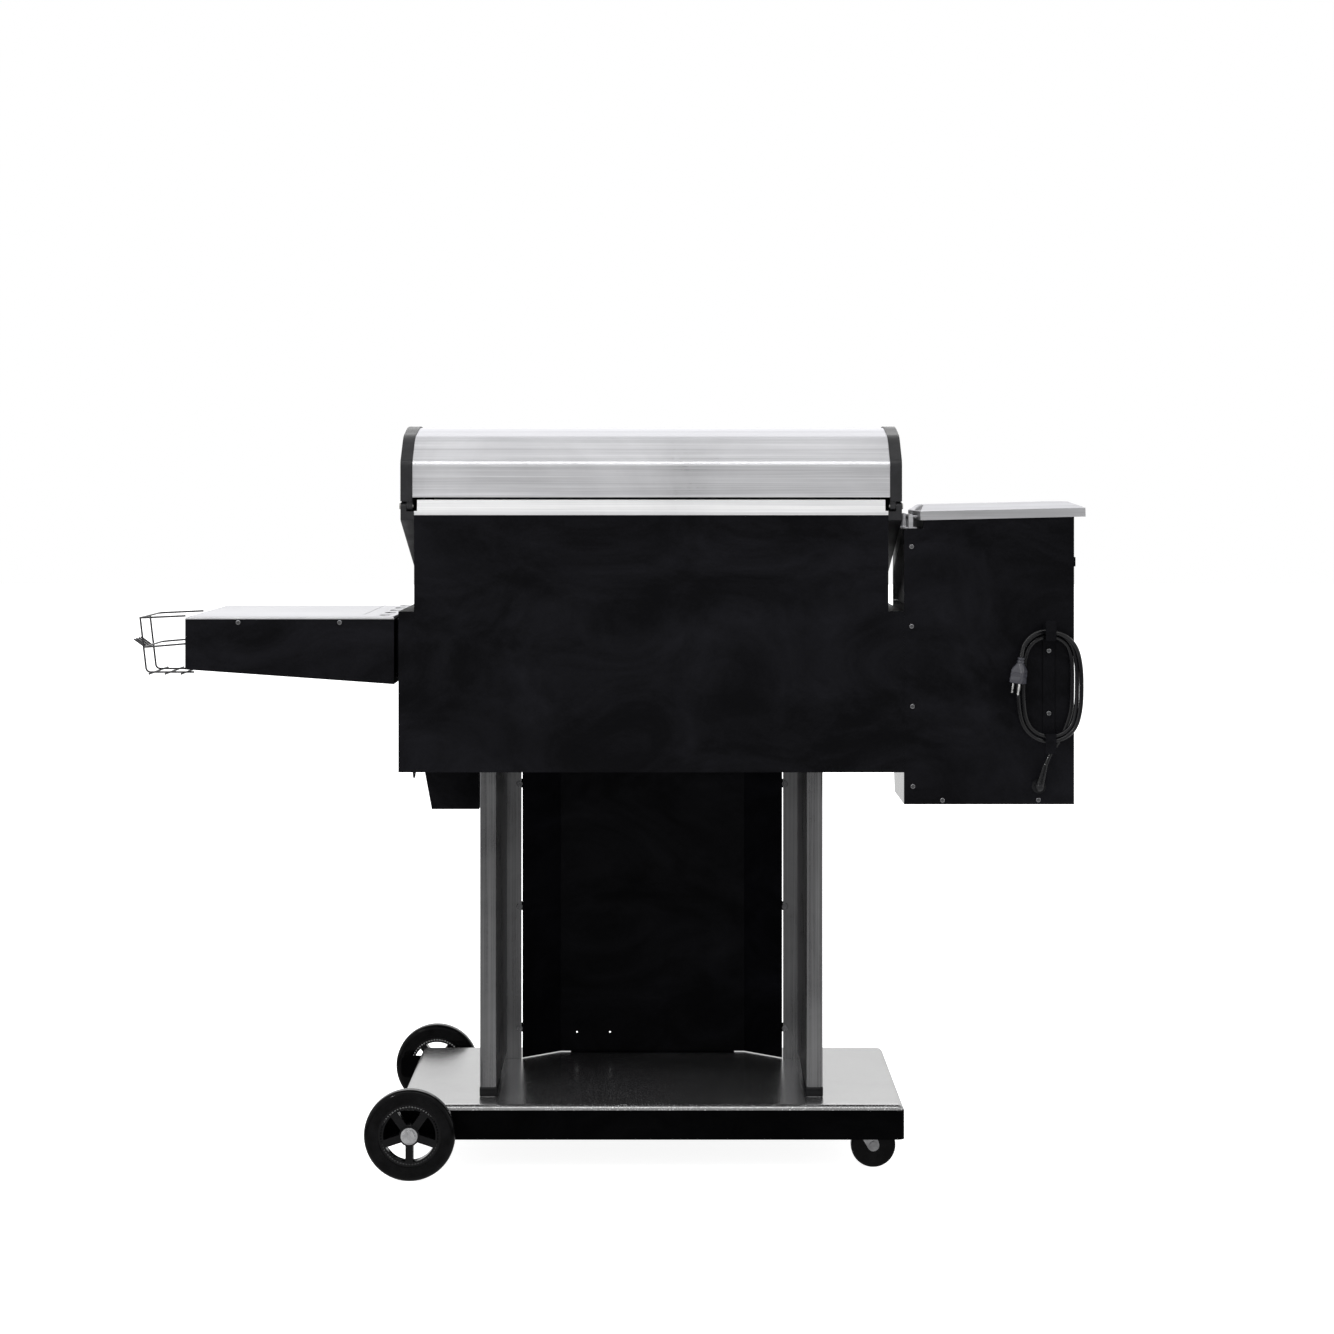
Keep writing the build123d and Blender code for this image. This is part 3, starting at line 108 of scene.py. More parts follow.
def between(keys, where):
    """Straight-line reading of a list of (place, value) pairs."""
    if where <= keys[0][0]:
        return keys[0][1]
    for (low, first), (high, last) in zip(keys, keys[1:]):
        if where <= high:
            return first + (last - first) * (where - low) / (high - low)
    return keys[-1][1]


coil = []
for station in range(3, 41):
    across, up, end = STATIONS[station % 16]
    width = between(HALF_WIDTHS, station) / 1000
    height = between(HALF_HEIGHTS, station) / 1000
    coil.append((
        COIL_X + across * width,
        between(DEPTHS, station) / 1000,
        COIL_Z + end * (height - width) + up * width,
    ))

route = LEAD_IN + coil + LEAD_OUT
curve = bpy.data.curves.new("power_lead", "CURVE")
curve.dimensions = "3D"
curve.bevel_depth = CORD_DIAMETER / 2 / POINT_RADIUS
curve.bevel_resolution = 5
curve.resolution_u = 10
curve.use_fill_caps = True
spline = curve.splines.new("NURBS")
spline.points.add(len(route) - 1)
for control, place in zip(spline.points, route):
    control.co = (*place, 1.0)
    control.radius = POINT_RADIUS
spline.order_u = 3
spline.use_endpoint_u = True
power_lead = bpy.data.objects.new("power_lead", curve)
scene.collection.objects.link(power_lead)


# ---------------------------------------------------------------- materials


class Nodes:
    """A material's node tree with short calls for the nodes that every finish here uses."""

    def __init__(self, name):
        self.material = bpy.data.materials.new(name)
        self.material.use_nodes = True
        self.tree = self.material.node_tree
        self.shader = self.tree.nodes["Principled BSDF"]
        self.coords = self.add("ShaderNodeTexCoord").outputs["Object"]

    def add(self, kind, **settings):
        node = self.tree.nodes.new(kind)
        for key, value in settings.items():
            setattr(node, key, value)
        return node

    def link(self, source, target):
        self.tree.links.new(source, target)

    def noise(self, scale, stretch=(1, 1, 1), detail=4.0, rough=0.55, distortion=0.0):
        mapping = self.add("ShaderNodeMapping")
        mapping.inputs["Scale"].default_value = stretch
        self.link(self.coords, mapping.inputs["Vector"])
        node = self.add("ShaderNodeTexNoise")
        node.inputs["Scale"].default_value = scale
        node.inputs["Detail"].default_value = detail
        node.inputs["Roughness"].default_value = rough
        node.inputs["Distortion"].default_value = distortion
        self.link(mapping.outputs["Vector"], node.inputs["Vector"])
        return node.outputs["Fac"]

    def spread(self, value, low, high, start=0.3, stop=0.7):
        node = self.add("ShaderNodeMapRange")
        node.inputs["From Min"].default_value = start
        node.inputs["From Max"].default_value = stop
        node.inputs["To Min"].default_value = low
        node.inputs["To Max"].default_value = high
        self.link(value, node.inputs["Value"])
        return node.outputs["Result"]

    def blend(self, value, first, second, start=0.3, stop=0.7):
        node = self.add("ShaderNodeValToRGB")
        node.color_ramp.elements[0].position = start
        node.color_ramp.elements[1].position = stop
        node.color_ramp.elements[0].color = (*first, 1)
        node.color_ramp.elements[1].color = (*second, 1)
        self.link(value, node.inputs["Fac"])
        return node.outputs["Color"]

    def arith(self, kind, first, second):
        node = self.add("ShaderNodeMath", operation=kind)
        for socket, value in zip(node.inputs, (first, second)):
            if isinstance(value, (int, float)):
                socket.default_value = value
            else:
                self.link(value, socket)
        return node.outputs["Value"]

    def bump(self, value, depth, strength=1.0, under=None):
        node = self.add("ShaderNodeBump")
        node.inputs["Strength"].default_value = strength
        node.inputs["Distance"].default_value = depth
        self.link(value, node.inputs["Height"])
        if under is not None:
            self.link(under, node.inputs["Normal"])
        return node.outputs["Normal"]

    def rounded(self, radius):
        node = self.add("ShaderNodeBevel", samples=3)
        node.inputs["Radius"].default_value = radius
        return node.outputs["Normal"]

    def put(self, **sockets):
        for key, value in sockets.items():
            socket = self.shader.inputs[key.replace("_", " ")]
            if isinstance(value, bpy.types.NodeSocket):
                self.link(value, socket)
            else:
                socket.default_value = value


def powder(name, dark, light, rough=(0.42, 0.6), grain=900.0, depth=0.00022, cloud=4.0, level=0.05,
           edge=0.0012, grit=0.25, span=(0.42, 0.74)):
    """Fine-textured black powder coat with faint handling marks."""
    n = Nodes(name)
    smear = n.noise(cloud, (1.0, 1.0, 1.6), detail=9.0, rough=0.68, distortion=1.2)
    pores = n.noise(grain, detail=2.0)
    flecks = n.noise(grain * 0.4, detail=3.0, rough=0.8)
    tone = n.arith("ADD", n.arith("MULTIPLY", smear, 1.0 - grit), n.arith("MULTIPLY", flecks, grit))
    n.put(
        Base_Color=n.blend(tone, dark, light, *span),
        Roughness=n.spread(smear, rough[1], rough[0], 0.35, 0.75),
        Specular_IOR_Level=level,
        Normal=n.bump(pores, depth, 0.6, n.rounded(edge)),
    )
    return n.material


def brushed(name, dark, light, grain, axis, rough=(0.26, 0.4), spread=0.75, smudge=3.0, depth=0.00004):
    """Metal brushed along one direction, with soft smudges and a few deeper lines."""
    n = Nodes(name)
    fine = n.noise(1.0, grain, detail=3.0, rough=0.7)
    coarse = n.noise(1.0, tuple(g * 0.22 for g in grain), detail=2.0)
    marks = n.noise(smudge, detail=7.0, rough=0.62, distortion=0.8)
    tone = n.arith("ADD", n.arith("MULTIPLY", fine, 0.45), n.arith("MULTIPLY", coarse, 0.25))
    tone = n.arith("ADD", tone, n.arith("MULTIPLY", marks, 0.3))
    wipe = n.arith("ADD", n.arith("MULTIPLY", fine, 0.5), n.arith("MULTIPLY", marks, 0.5))
    tangent = n.add("ShaderNodeTangent", direction_type="RADIAL", axis=axis)
    n.put(
        Base_Color=n.blend(tone, dark, light, 0.36, 0.64),
        Metallic=1.0,
        Roughness=n.spread(wipe, rough[0], rough[1], 0.35, 0.65),
        Anisotropic=spread,
        Specular_Tint=(0.74, 0.74, 0.76, 1.0),
        Tangent=tangent.outputs["Tangent"],
        Normal=n.bump(fine, depth, 0.5, n.rounded(0.0008)),
    )
    return n.material


def plated(name, dark, light, rough=(0.2, 0.36), metallic=1.0, scale=60.0, depth=0.00006):
    """Small plated or cast hardware."""
    n = Nodes(name)
    blotch = n.noise(scale, detail=5.0, rough=0.6)
    pits = n.noise(scale * 18, detail=2.0)
    n.put(
        Base_Color=n.blend(blotch, dark, light),
        Metallic=metallic,
        Roughness=n.spread(blotch, rough[1], rough[0]),
        Normal=n.bump(pits, depth, 0.5, n.rounded(0.0004)),
    )
    return n.material


def moulded(name, dark, light, rough=(0.3, 0.5), grain=700.0, depth=0.00012, coat=0.0, level=0.4,
            coat_ior=1.5):
    """Moulded plastic or rubber with a light texture."""
    n = Nodes(name)
    blotch = n.noise(14.0, detail=6.0, rough=0.6, distortion=0.5)
    pores = n.noise(grain, detail=2.0)
    n.put(
        Base_Color=n.blend(blotch, dark, light),
        Roughness=n.spread(blotch, rough[1], rough[0]),
        Specular_IOR_Level=level,
        Coat_Weight=coat,
        Coat_Roughness=0.12,
        Coat_IOR=coat_ior,
        Normal=n.bump(pores, depth, 0.5, n.rounded(0.0008)),
    )
    return n.material


def tyre_rubber():
    """Black rubber with moulded rings on its side wall."""
    n = Nodes("tyre")
    split = n.add("ShaderNodeSeparateXYZ")
    n.link(n.coords, split.inputs["Vector"])
    low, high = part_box("wheel_rear_tyre")
    centre = (low + high) / 2
    along = n.arith("SUBTRACT", split.outputs["X"], centre.x)
    above = n.arith("SUBTRACT", split.outputs["Z"], centre.z)
    square = n.arith("ADD", n.arith("MULTIPLY", along, along), n.arith("MULTIPLY", above, above))
    radius = n.arith("SQRT", square, 0.0)
    rings = n.arith("SINE", n.arith("MULTIPLY", radius, 1500.0), 0.0)
    dust = n.noise(22.0, detail=7.0, rough=0.7)
    pores = n.noise(1200.0, detail=2.0)
    n.put(
        Base_Color=n.blend(dust, (0.0008, 0.0008, 0.0009), (0.0045, 0.0045, 0.005), 0.4, 0.75),
        Roughness=n.spread(dust, 0.26, 0.42),
        Specular_IOR_Level=0.02,
        Coat_Weight=1.0,
        Coat_Roughness=0.1,
        Coat_IOR=1.15,
        Normal=n.bump(pores, 0.0002, 0.35, n.bump(rings, 0.00025, 0.5)),
    )
    return n.material


def glass_window():
    """Dark tinted display cover."""
    n = Nodes("display_glass")
    haze = n.noise(30.0, detail=6.0)
    n.put(
        Base_Color=n.blend(haze, (0.004, 0.006, 0.010), (0.010, 0.014, 0.020)),
        Roughness=n.spread(haze, 0.05, 0.12),
        Coat_Weight=1.0,
        Coat_Roughness=0.03,
    )
    return n.material


def clear_coat(material, rough, ior):
    """A glossy layer over a finish."""
    shader = material.node_tree.nodes["Principled BSDF"]
    shader.inputs["Coat Weight"].default_value = 1.0
    shader.inputs["Coat Roughness"].default_value = rough
    shader.inputs["Coat IOR"].default_value = ior


shelf_skirt = powder(
    "shelf_skirt", (0.0006, 0.0006, 0.0007), (0.0018, 0.0018, 0.002),
    rough=(0.16, 0.24), grain=520.0, depth=0.0001, cloud=7.0, level=0.01, edge=0.001,
)
# The same black coat as the skirt, but the top faces get a lighter tone and painted sparkle: bright flecks
# that stand in for glints of the coat's texture.
shelf_top_painted_sparkle = powder(
    "shelf_top_painted_sparkle", (0.034, 0.034, 0.035), (0.45, 0.45, 0.455),
    rough=(0.16, 0.26), cloud=7.0, level=1.0, edge=0.001, grit=0.9, span=(0.57, 0.64),
)
clear_coat(shelf_top_painted_sparkle, 0.2, 2.2)
hopper_side = powder(
    "hopper_side", (0.008, 0.008, 0.009), (0.02, 0.02, 0.022), rough=(0.2, 0.3), level=1.0)
clear_coat(hopper_side, 0.03, 2.2)

SHEET_GRAIN = (2.2, 420.0, 420.0)
LEG_GRAIN = (380.0, 380.0, 2.0)
# A brighter copy of the lid's stainless: a painted reflection that makes the exhaust strip read bright.
strip_steel_painted_reflection = brushed("strip_steel_painted_reflection", (0.74, 0.74, 0.75), (0.98, 0.98, 0.98), SHEET_GRAIN, "X")
# Darker copies of the lid's stainless: painted shade that tones down the hopper lid's and the table top's
# grazing reflections.
hopper_lid_steel_painted_shade = brushed(
    "hopper_lid_steel_painted_shade", (0.36, 0.36, 0.37), (0.60, 0.60, 0.615), SHEET_GRAIN, "X", (0.3, 0.44))
table_steel_painted_shade = brushed(
    "table_steel_painted_shade", (0.42, 0.42, 0.43), (0.68, 0.68, 0.69), SHEET_GRAIN, "X", (0.3, 0.44))
bright_zinc = plated("bright_zinc", (0.42, 0.42, 0.43), (0.66, 0.66, 0.67), (0.12, 0.22))

finishes = {
    "powder_black": powder("body_black", (0.0011, 0.0011, 0.0016), (0.0072, 0.0072, 0.0094)),
    "gloss_black": shelf_skirt,
    "cast_black": powder(
        "cap_black", (0.006, 0.006, 0.007), (0.016, 0.016, 0.018),
        rough=(0.34, 0.48), grain=500.0, depth=0.0003, cloud=9.0, level=0.3, edge=0.003),
    "stainless": brushed("lid_stainless", (0.50, 0.50, 0.515), (0.78, 0.78, 0.80), SHEET_GRAIN, "X"),
    "leg_steel": brushed(
        "leg_steel", (0.17, 0.17, 0.174), (0.32, 0.32, 0.325), LEG_GRAIN, "Z",
        rough=(0.24, 0.36), spread=0.7, smudge=5.0),
    "bare_steel": plated("bare_steel", (0.30, 0.29, 0.28), (0.46, 0.45, 0.43), (0.3, 0.5)),
    "zinc": plated("zinc", (0.20, 0.20, 0.205), (0.40, 0.40, 0.41)),
    "black_zinc": plated("black_zinc", (0.15, 0.15, 0.155), (0.30, 0.30, 0.31), (0.14, 0.22)),
    "tyre_rubber": tyre_rubber(),
    "wheel_plastic": moulded(
        "wheel_gloss", (0.0008, 0.0008, 0.001), (0.003, 0.003, 0.0035),
        rough=(0.16, 0.28), coat=1.0, level=0.05, coat_ior=1.22),
    "black_plastic": moulded(
        "black_plastic", (0.004, 0.004, 0.0045), (0.010, 0.010, 0.011),
        rough=(0.3, 0.45), coat=1.0, level=0.08, coat_ior=1.25),
    "cord_rubber": moulded(
        "cord_jacket", (0.0015, 0.0015, 0.0018), (0.005, 0.005, 0.006),
        rough=(0.2, 0.3), grain=1500.0, depth=0.0001, coat=1.0, level=0.1, coat_ior=1.3),
    "black_wire": moulded(
        "basket_coat", (0.008, 0.008, 0.009), (0.020, 0.020, 0.022),
        rough=(0.28, 0.42), grain=1600.0, depth=0.0001),
    "grate_iron": plated(
        "grate_iron", (0.020, 0.018, 0.017), (0.055, 0.050, 0.046),
        rough=(0.45, 0.65), metallic=0.7, scale=90.0, depth=0.0003),
}
for part in frame["record"]["subparts"]:
    node = nodes[part["node"]]
    node.data.materials.clear()
    node.data.materials.append(finishes[part["material_slot"]])
    for face in node.data.polygons:
        face.material_index = 0


def refinish(name, finish, chosen):
    """Give a second finish to the faces of a node that a test picks out."""
    data = nodes[name].data
    data.materials.append(finish)
    for face in data.polygons:
        if chosen(face):
            face.material_index = 1


SHELF_FLOOR_Z = 0.1  # the tray's upper faces lie above this
HOPPER_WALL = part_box("hopper_shell")[1].x - 0.001  # the wall that faces the barrel
AXLE_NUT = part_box("axle_rod")[1].y - 0.012  # nuts and washers lie beyond this
BOLT_HEAD = 0.0028
# The tray's upper faces take the lighter coat with the painted sparkle flecks.
refinish("base_shelf", shelf_top_painted_sparkle, lambda face: face.normal.z > 0.3 and face.center.z > SHELF_FLOOR_Z)
refinish("hopper_shell", hopper_side, lambda face: face.normal.x > 0.9 and face.center.x > HOPPER_WALL)
refinish("axle_rod", bright_zinc, lambda face: abs(face.center.y) > AXLE_NUT)
# These sheets are the lid's stainless. The strip's copy is brightened as a painted reflection, and the
# hopper lid's and table top's copies are darkened as painted shade.
for sheet, finish in (
    ("exhaust_strip", strip_steel_painted_reflection), ("hopper_lid", hopper_lid_steel_painted_shade), ("table_top", table_steel_painted_shade),
):
    refinish(sheet, finish, lambda face: True)
for fork in ("caster_rear_fork", "caster_front_fork"):
    fork_low, fork_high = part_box(fork)
    plain = (fork_low.y + BOLT_HEAD, fork_high.y - BOLT_HEAD)
    refinish(fork, bright_zinc, lambda face: not plain[0] < face.center.y < plain[1])


# ---------------------------------------------------------------- mesh helpers


def finish_piece(name, mesh_data, body, finish, sharp=32.0, lining=None):
    """Turn a bmesh into a smooth-shaded piece that rides on a body."""
    bmesh.ops.recalc_face_normals(mesh_data, faces=mesh_data.faces)
    mesh = bpy.data.meshes.new(name)
    mesh_data.to_mesh(mesh)
    mesh_data.free()
    mesh.materials.append(finish)
    if lining is not None:
        mesh.materials.append(lining)
    for face in mesh.polygons:
        face.use_smooth = True
    mesh.set_sharp_from_angle(angle=math.radians(sharp))
    piece = bpy.data.objects.new(name, mesh)
    scene.collection.objects.link(piece)
    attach(piece, body)
    return piece


def lathe(mesh_data, profile, origin, axis, segments=48, index=0):
    """Turn a list of (radius, distance along) about an axis."""
    axis = Vector(axis).normalized()
    side = axis.orthogonal().normalized()
    rise = axis.cross(side)
    rings = []
    for radius, distance in profile:
        centre = Vector(origin) + axis * distance
        if radius < 1e-6:
            rings.append([mesh_data.verts.new(centre)])
            continue
        ring = []
        for k in range(segments):
            angle = math.tau * k / segments
            spoke = side * math.cos(angle) + rise * math.sin(angle)
            ring.append(mesh_data.verts.new(centre + spoke * radius))
        rings.append(ring)
    for lower, upper in zip(rings, rings[1:]):
        for k in range(segments):
            corners = [
                lower[k % len(lower)],
                lower[(k + 1) % len(lower)],
                upper[(k + 1) % len(upper)],
                upper[k % len(upper)],
            ]
            face = mesh_data.faces.new(list(dict.fromkeys(corners)))
            face.material_index = index


def block(mesh_data, low, high, edge=0.0008, index=0):
    """A box between two corners, with rounded edges."""
    made = bmesh.ops.create_cube(mesh_data, size=1.0)
    for vert in made["verts"]:
        vert.co = Vector([lo + (c + 0.5) * (hi - lo) for lo, hi, c in zip(low, high, vert.co)])
    edges = list({e for vert in made["verts"] for e in vert.link_edges})
    for face in {f for vert in made["verts"] for f in vert.link_faces}:
        face.material_index = index
    bevelled = bmesh.ops.bevel(mesh_data, geom=edges, offset=edge, segments=3, profile=0.5, affect="EDGES")
    for face in bevelled["faces"]:
        face.material_index = index


def loft(mesh_data, sections, origin, axis, across, segments=40, index=0):
    """A closed skin through superellipse sections: (distance, half width, half depth, squareness)."""
    axis = Vector(axis).normalized()
    across = Vector(across).normalized()
    deep = axis.cross(across)
    rings = []
    for distance, width, depth, square in sections:
        ring = []
        for k in range(segments):
            angle = math.tau * k / segments
            c, s = math.cos(angle), math.sin(angle)
            u = math.copysign(abs(c) ** (2 / square), c) * width
            v = math.copysign(abs(s) ** (2 / square), s) * depth
            ring.append(mesh_data.verts.new(Vector(origin) + axis * distance + across * u + deep * v))
        rings.append(ring)
    for lower, upper in zip(rings, rings[1:]):
        for k in range(segments):
            after = (k + 1) % segments
            face = mesh_data.faces.new((lower[k], lower[after], upper[after], upper[k]))
            face.material_index = index
    for ring in (rings[0], rings[-1]):
        mesh_data.faces.new(ring).material_index = index


# ---------------------------------------------------------------- the cord's own pieces

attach(power_lead, "cart")
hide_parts("power_cord", "cord_coil")
curve.materials.append(finishes["cord_rubber"])

exit_axis = Vector((-math.sin(EXIT_TILT), 0, math.cos(EXIT_TILT)))
relief_mesh = bmesh.new()
relief_profile = [(0.0, -0.016), (0.0072, -0.016), (0.0074, -0.014)]
for rib in range(9):
    foot = -0.013 + rib * 0.0034
    swell = 0.0073 - rib * 0.00028
    relief_profile += [
        (swell, foot), (swell, foot + 0.0018),
        (swell - 0.0009, foot + 0.0021), (swell - 0.0009, foot + 0.0031),
    ]
relief_profile += [(0.0046, 0.0180), (0.0042, 0.0200), (0.0, 0.0200)]
lathe(relief_mesh, relief_profile, EXIT, exit_axis, 32)
strain_relief = finish_piece(
    "strain_relief", relief_mesh, "cart", finishes["cord_rubber"], 40)

# The plug hangs nose down and a little turned, so that a blade's flat side shows.
PLUG_TILT = math.radians(8)
PLUG_TURN = math.radians(38)
plug_axis = Vector((math.sin(PLUG_TILT), 0, -math.cos(PLUG_TILT)))
plug_wide = Matrix.Rotation(PLUG_TURN, 3, plug_axis) @ Vector((math.cos(PLUG_TILT), 0, math.sin(PLUG_TILT)))
plug_deep = plug_axis.cross(plug_wide)
plug_mesh = bmesh.new()
loft(
    plug_mesh,
    [
        (0.0000, 0.0048, 0.0048, 2.0), (0.0006, 0.0062, 0.0062, 2.0), (0.0028, 0.0064, 0.0064, 2.0),
        (0.0034, 0.0052, 0.0052, 2.0), (0.0050, 0.0052, 0.0052, 2.0), (0.0056, 0.0064, 0.0064, 2.0),
        (0.0080, 0.0066, 0.0065, 2.2), (0.0086, 0.0056, 0.0056, 2.2), (0.0100, 0.0058, 0.0057, 2.3),
        (0.0106, 0.0068, 0.0066, 2.4), (0.0130, 0.0076, 0.0070, 2.8), (0.0180, 0.0108, 0.0084, 4.5),
        (0.0220, 0.0118, 0.0094, 6.0), (0.0250, 0.0120, 0.0098, 7.0), (0.0255, 0.0116, 0.0094, 7.0),
        (0.0275, 0.0116, 0.0094, 7.0), (0.0280, 0.0120, 0.0099, 7.0), (0.0310, 0.0120, 0.0099, 7.0),
        (0.0315, 0.0116, 0.0095, 7.0), (0.0335, 0.0116, 0.0095, 7.0), (0.0340, 0.0120, 0.0099, 7.0),
        (0.0425, 0.0120, 0.0099, 7.0), (0.0436, 0.0115, 0.0094, 6.5), (0.0440, 0.0106, 0.0086, 6.0),
    ],
    COLLAR, plug_axis, plug_wide, 56,
)
plug_vinyl = moulded(
    "plug_vinyl", (0.018, 0.018, 0.024), (0.045, 0.045, 0.056),
    rough=(0.2, 0.32), grain=1200.0, depth=0.0001, level=0.6)
plug_body = finish_piece("plug_body", plug_mesh, "cart", plug_vinyl, 40)
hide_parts("plug")

prong_mesh = bmesh.new()
for side in (-1, 1):
    made = bmesh.ops.create_cube(prong_mesh, size=1.0)
    frame_of_blade = Matrix((plug_deep, plug_wide, plug_axis)).transposed()
    for vert in made["verts"]:
        local = Vector((vert.co.x * 0.00635, vert.co.y * 0.0015, vert.co.z * 0.018))
        if vert.co.z > 0:
            local.x *= 0.82
        local += Vector((-0.002, side * 0.00635, 0.0520))
        vert.co = Vector(COLLAR) + frame_of_blade @ local
    bmesh.ops.bevel(
        prong_mesh, geom=list({e for v in made["verts"] for e in v.link_edges}), offset=0.0003, segments=2,
        profile=0.5, affect="EDGES")
pin_foot = Vector(COLLAR) + plug_axis * 0.0435 + plug_deep * 0.0056
lathe(
    prong_mesh,
    [(0.0, 0.0), (0.0024, 0.0), (0.0024, 0.0165), (0.0021, 0.0188), (0.0012, 0.0203), (0.0, 0.0206)],
    pin_foot, plug_axis, 24,
)
blade_metal = plated("blade_metal", (0.55, 0.55, 0.54), (0.78, 0.78, 0.77), (0.18, 0.3))
plug_prongs = finish_piece("plug_prongs", prong_mesh, "cart", blade_metal, 40)
prong_holes = bmesh.new()
for side in (-1, 1):
    for face_side in (-1, 1):
        centre = (Vector(COLLAR) + plug_axis * 0.0560 - plug_deep * 0.002
                  + plug_wide * (side * 0.00635 + face_side * 0.00072))
        lathe(prong_holes, [(0.0, 0.0), (0.0016, 0.0), (0.0016, 0.00010), (0.0, 0.00010)], centre,
              plug_wide * face_side, 20)
plug_holes = finish_piece(
    "plug_blade_holes", prong_holes, "cart", finishes["black_plastic"])


# ---------------------------------------------------------------- leg shoes

for leg in ("leg_left", "leg_right"):
    low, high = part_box(leg)
    outer = high.x if leg == "leg_left" else low.x
    inner = outer - 0.0285 if leg == "leg_left" else outer + 0.0285
    shoe_mesh = bmesh.new()
    block(
        shoe_mesh,
        (min(outer, inner) - 0.0006, low.y - 0.0004, low.z + 0.0002),
        (max(outer, inner) + 0.0006, high.y + 0.0008, low.z + 0.0170),
        0.0022,
    )
    finish_piece(
        leg.replace("leg", "leg_shoe"), shoe_mesh, "cart", finishes["black_plastic"])


# ---------------------------------------------------------------- thermometer face

dial_finish = Nodes("dial_face")
dial_speck = dial_finish.noise(800.0, detail=2.0)
dial_finish.put(
    Base_Color=dial_finish.blend(dial_speck, (0.62, 0.62, 0.60), (0.74, 0.74, 0.72)),
    Roughness=dial_finish.spread(dial_speck, 0.4, 0.55),
)
low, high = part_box("thermometer")
dial_centre = Vector((BX, low.y + 0.0018, 1.040))
out = Vector((0, -1, 0))
dial_mesh = bmesh.new()
lathe(dial_mesh, [(0.0, 0.0004), (0.0214, 0.0004), (0.0214, 0.0), (0.0, 0.0)], dial_centre, out, 64)
for tick in range(31):
    angle = math.radians(-225 + tick * 9)
    ray = Vector((math.cos(angle), 0, -math.sin(angle)))
    cross = Vector((-ray.z, 0, ray.x))
    inner_r = 0.0160 if tick % 5 == 0 else 0.0178
    half = 0.00042 if tick % 5 == 0 else 0.00022
    corners = []
    for reach, offset in ((inner_r, -half), (inner_r, half), (0.0196, half), (0.0196, -half)):
        corners.append(dial_mesh.verts.new(dial_centre + ray * reach + cross * offset + out * 0.0006))
    dial_mesh.faces.new(corners).material_index = 1
finish_piece(
    "dial_face", dial_mesh, "lid", dial_finish.material, lining=finishes["black_plastic"])
needle_mesh = bmesh.new()
lathe(needle_mesh, [(0.0, 0.0006), (0.0018, 0.0006), (0.0016, 0.0014), (0.0, 0.0015)], dial_centre, out, 24)
needle_ray = Vector((math.cos(math.radians(215)), 0, math.sin(math.radians(215))))
needle_side = Vector((-needle_ray.z, 0, needle_ray.x))
needle = []
for reach, half in ((-0.0045, 0.0007), (0.0, 0.0006), (0.0165, 0.00012)):
    for offset in (-half, half):
        place = dial_centre + needle_ray * reach + needle_side * offset + out * 0.0010
        needle.append(needle_mesh.verts.new(place))
needle_mesh.faces.new((needle[0], needle[1], needle[3], needle[2]))
needle_mesh.faces.new((needle[2], needle[3], needle[5], needle[4]))
finish_piece("dial_needle", needle_mesh, "lid", finishes["black_plastic"])


# ---------------------------------------------------------------- controller face

low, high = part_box("controller_panel")
window_mesh = bmesh.new()
window_low = (BX - 0.5895, -0.0515, 0.9505)
window_high = (BX - 0.4805, -0.0500, 1.0145)
block(window_mesh, window_low, window_high, 0.0006)
finish_piece("display_window", window_mesh, "cart", glass_window())

knob_low, knob_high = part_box("controller_knob")
knob_centre = Vector(((knob_low.x + knob_high.x) / 2, knob_low.y, (knob_low.z + knob_high.z) / 2))
grip_mesh = bmesh.new()
for rib in range(24):
    angle = math.tau * rib / 24
    if abs(rib - 6) < 2:
        continue
    place = knob_centre + Vector((math.cos(angle) * 0.0200, 0.0015, math.sin(angle) * 0.0200))
    lathe(
        grip_mesh,
        [(0.0, 0.0), (0.0006, 0.0002), (0.0008, 0.0010), (0.0008, 0.0140), (0.0, 0.0148)],
        place, (0, 1, 0), 10,
    )
finish_piece("knob_grip", grip_mesh, "knob", finishes["black_plastic"], 50)


# ---------------------------------------------------------------- floor and light

floor_mesh = bmesh.new()
bmesh.ops.create_grid(floor_mesh, x_segments=1, y_segments=1, size=30.0)
floor_data = bpy.data.meshes.new("floor")
floor_mesh.to_mesh(floor_data)
floor_mesh.free()
floor_nodes = Nodes("floor_paint")
floor_tone = floor_nodes.noise(2.0, detail=5.0)
floor_nodes.put(
    Base_Color=floor_nodes.blend(floor_tone, (0.90, 0.90, 0.90), (0.93, 0.93, 0.93)),
    Roughness=0.9,
    Specular_IOR_Level=0.1,
    Emission_Color=(1.0, 1.0, 1.0, 1.0),
    Emission_Strength=0.9,
)
floor_data.materials.append(floor_nodes.material)
floor = bpy.data.objects.new("floor", floor_data)
scene.collection.objects.link(floor)
floor.visible_glossy = False

world = bpy.data.worlds.new("studio")
scene.world = world
world.use_nodes = True
sky = world.node_tree
background = sky.nodes["Background"]
direction = sky.nodes.new("ShaderNodeTexCoord")
split = sky.nodes.new("ShaderNodeSeparateXYZ")
sky.links.new(direction.outputs["Generated"], split.inputs["Vector"])


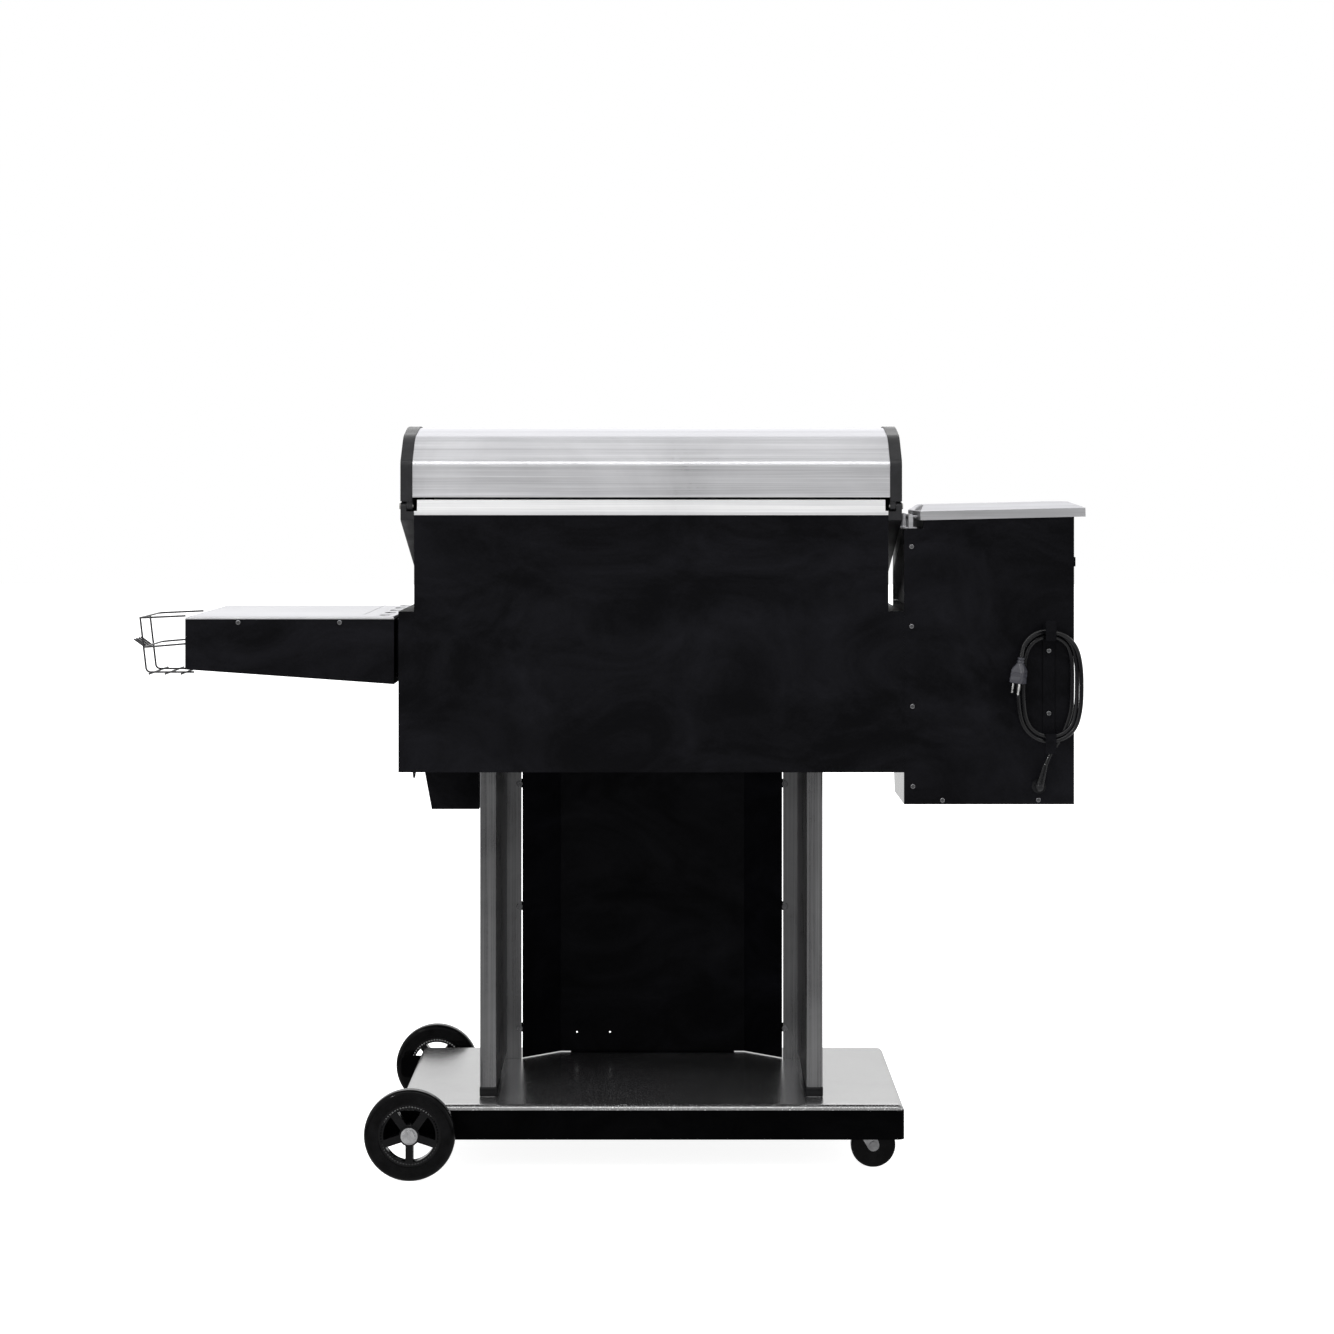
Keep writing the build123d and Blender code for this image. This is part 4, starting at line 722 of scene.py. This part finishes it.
def sky_range(source, start, stop, low, high):
    node = sky.nodes.new("ShaderNodeMapRange")
    node.interpolation_type = "SMOOTHSTEP"
    node.inputs["From Min"].default_value = start
    node.inputs["From Max"].default_value = stop
    node.inputs["To Min"].default_value = low
    node.inputs["To Max"].default_value = high
    sky.links.new(source, node.inputs["Value"])
    return node.outputs["Result"]


def sky_math(kind, first, second):
    node = sky.nodes.new("ShaderNodeMath")
    node.operation = kind
    for socket, value in zip(node.inputs, (first, second)):
        if isinstance(value, (int, float)):
            socket.default_value = value
        else:
            sky.links.new(value, socket)
    return node.outputs["Value"]


# White on the front's side and above the horizon. On the rear's side a narrow band just below the horizon
# is dark, and it grows lighter towards the floor.
WHITE = 0.85
backdrop = sky_math(
    "MULTIPLY",
    sky_range(split.outputs["Y"], -0.45, 0.25, 1.0, 0.0),
    sky_range(split.outputs["Z"], 0.03, 0.2, 0.7, 0.95),
)
eye_level = sky_range(split.outputs["Z"], -0.05, 0.03, 0.0, WHITE)
near_floor = sky_range(split.outputs["Z"], -0.26, -0.08, WHITE, 0.035)
glow = sky_math("MAXIMUM", backdrop, sky_math("MAXIMUM", eye_level, near_floor))
seen = sky.nodes.new("ShaderNodeLightPath").outputs["Is Camera Ray"]
strength = sky_math("MAXIMUM", glow, seen)
sky.links.new(strength, background.inputs["Strength"])
background.inputs["Color"].default_value = (1, 1, 1, 1)


def soft_box(name, place, target, size, power):
    light = bpy.data.lights.new(name, "AREA")
    light.shape = "RECTANGLE"
    light.size, light.size_y = size
    light.energy = power
    lamp = bpy.data.objects.new(name, light)
    lamp.location = place
    lamp.rotation_euler = (Vector(target) - Vector(place)).to_track_quat("-Z", "Y").to_euler()
    scene.collection.objects.link(lamp)


soft_box("top_light", (0.0, 1.6, 3.4), (0, 0, 0.8), (4.4, 0.4), 30)
soft_box("left_light", (4.2, 0.6, 1.6), (0, 0, 0.7), (1.6, 2.6), 12)
soft_box("right_light", (-4.2, 0.6, 1.6), (0, 0, 0.7), (1.6, 2.6), 16)
soft_box("key_light", (2.6, 4.2, 3.3), (0, 0, 0.8), (0.35, 0.35), 50)
soft_box("front_light", (0.0, -3.8, 2.6), (0, 0, 0.7), (3.4, 1.8), 30)

scene.view_settings.view_transform = "Standard"
scene.view_settings.look = "None"
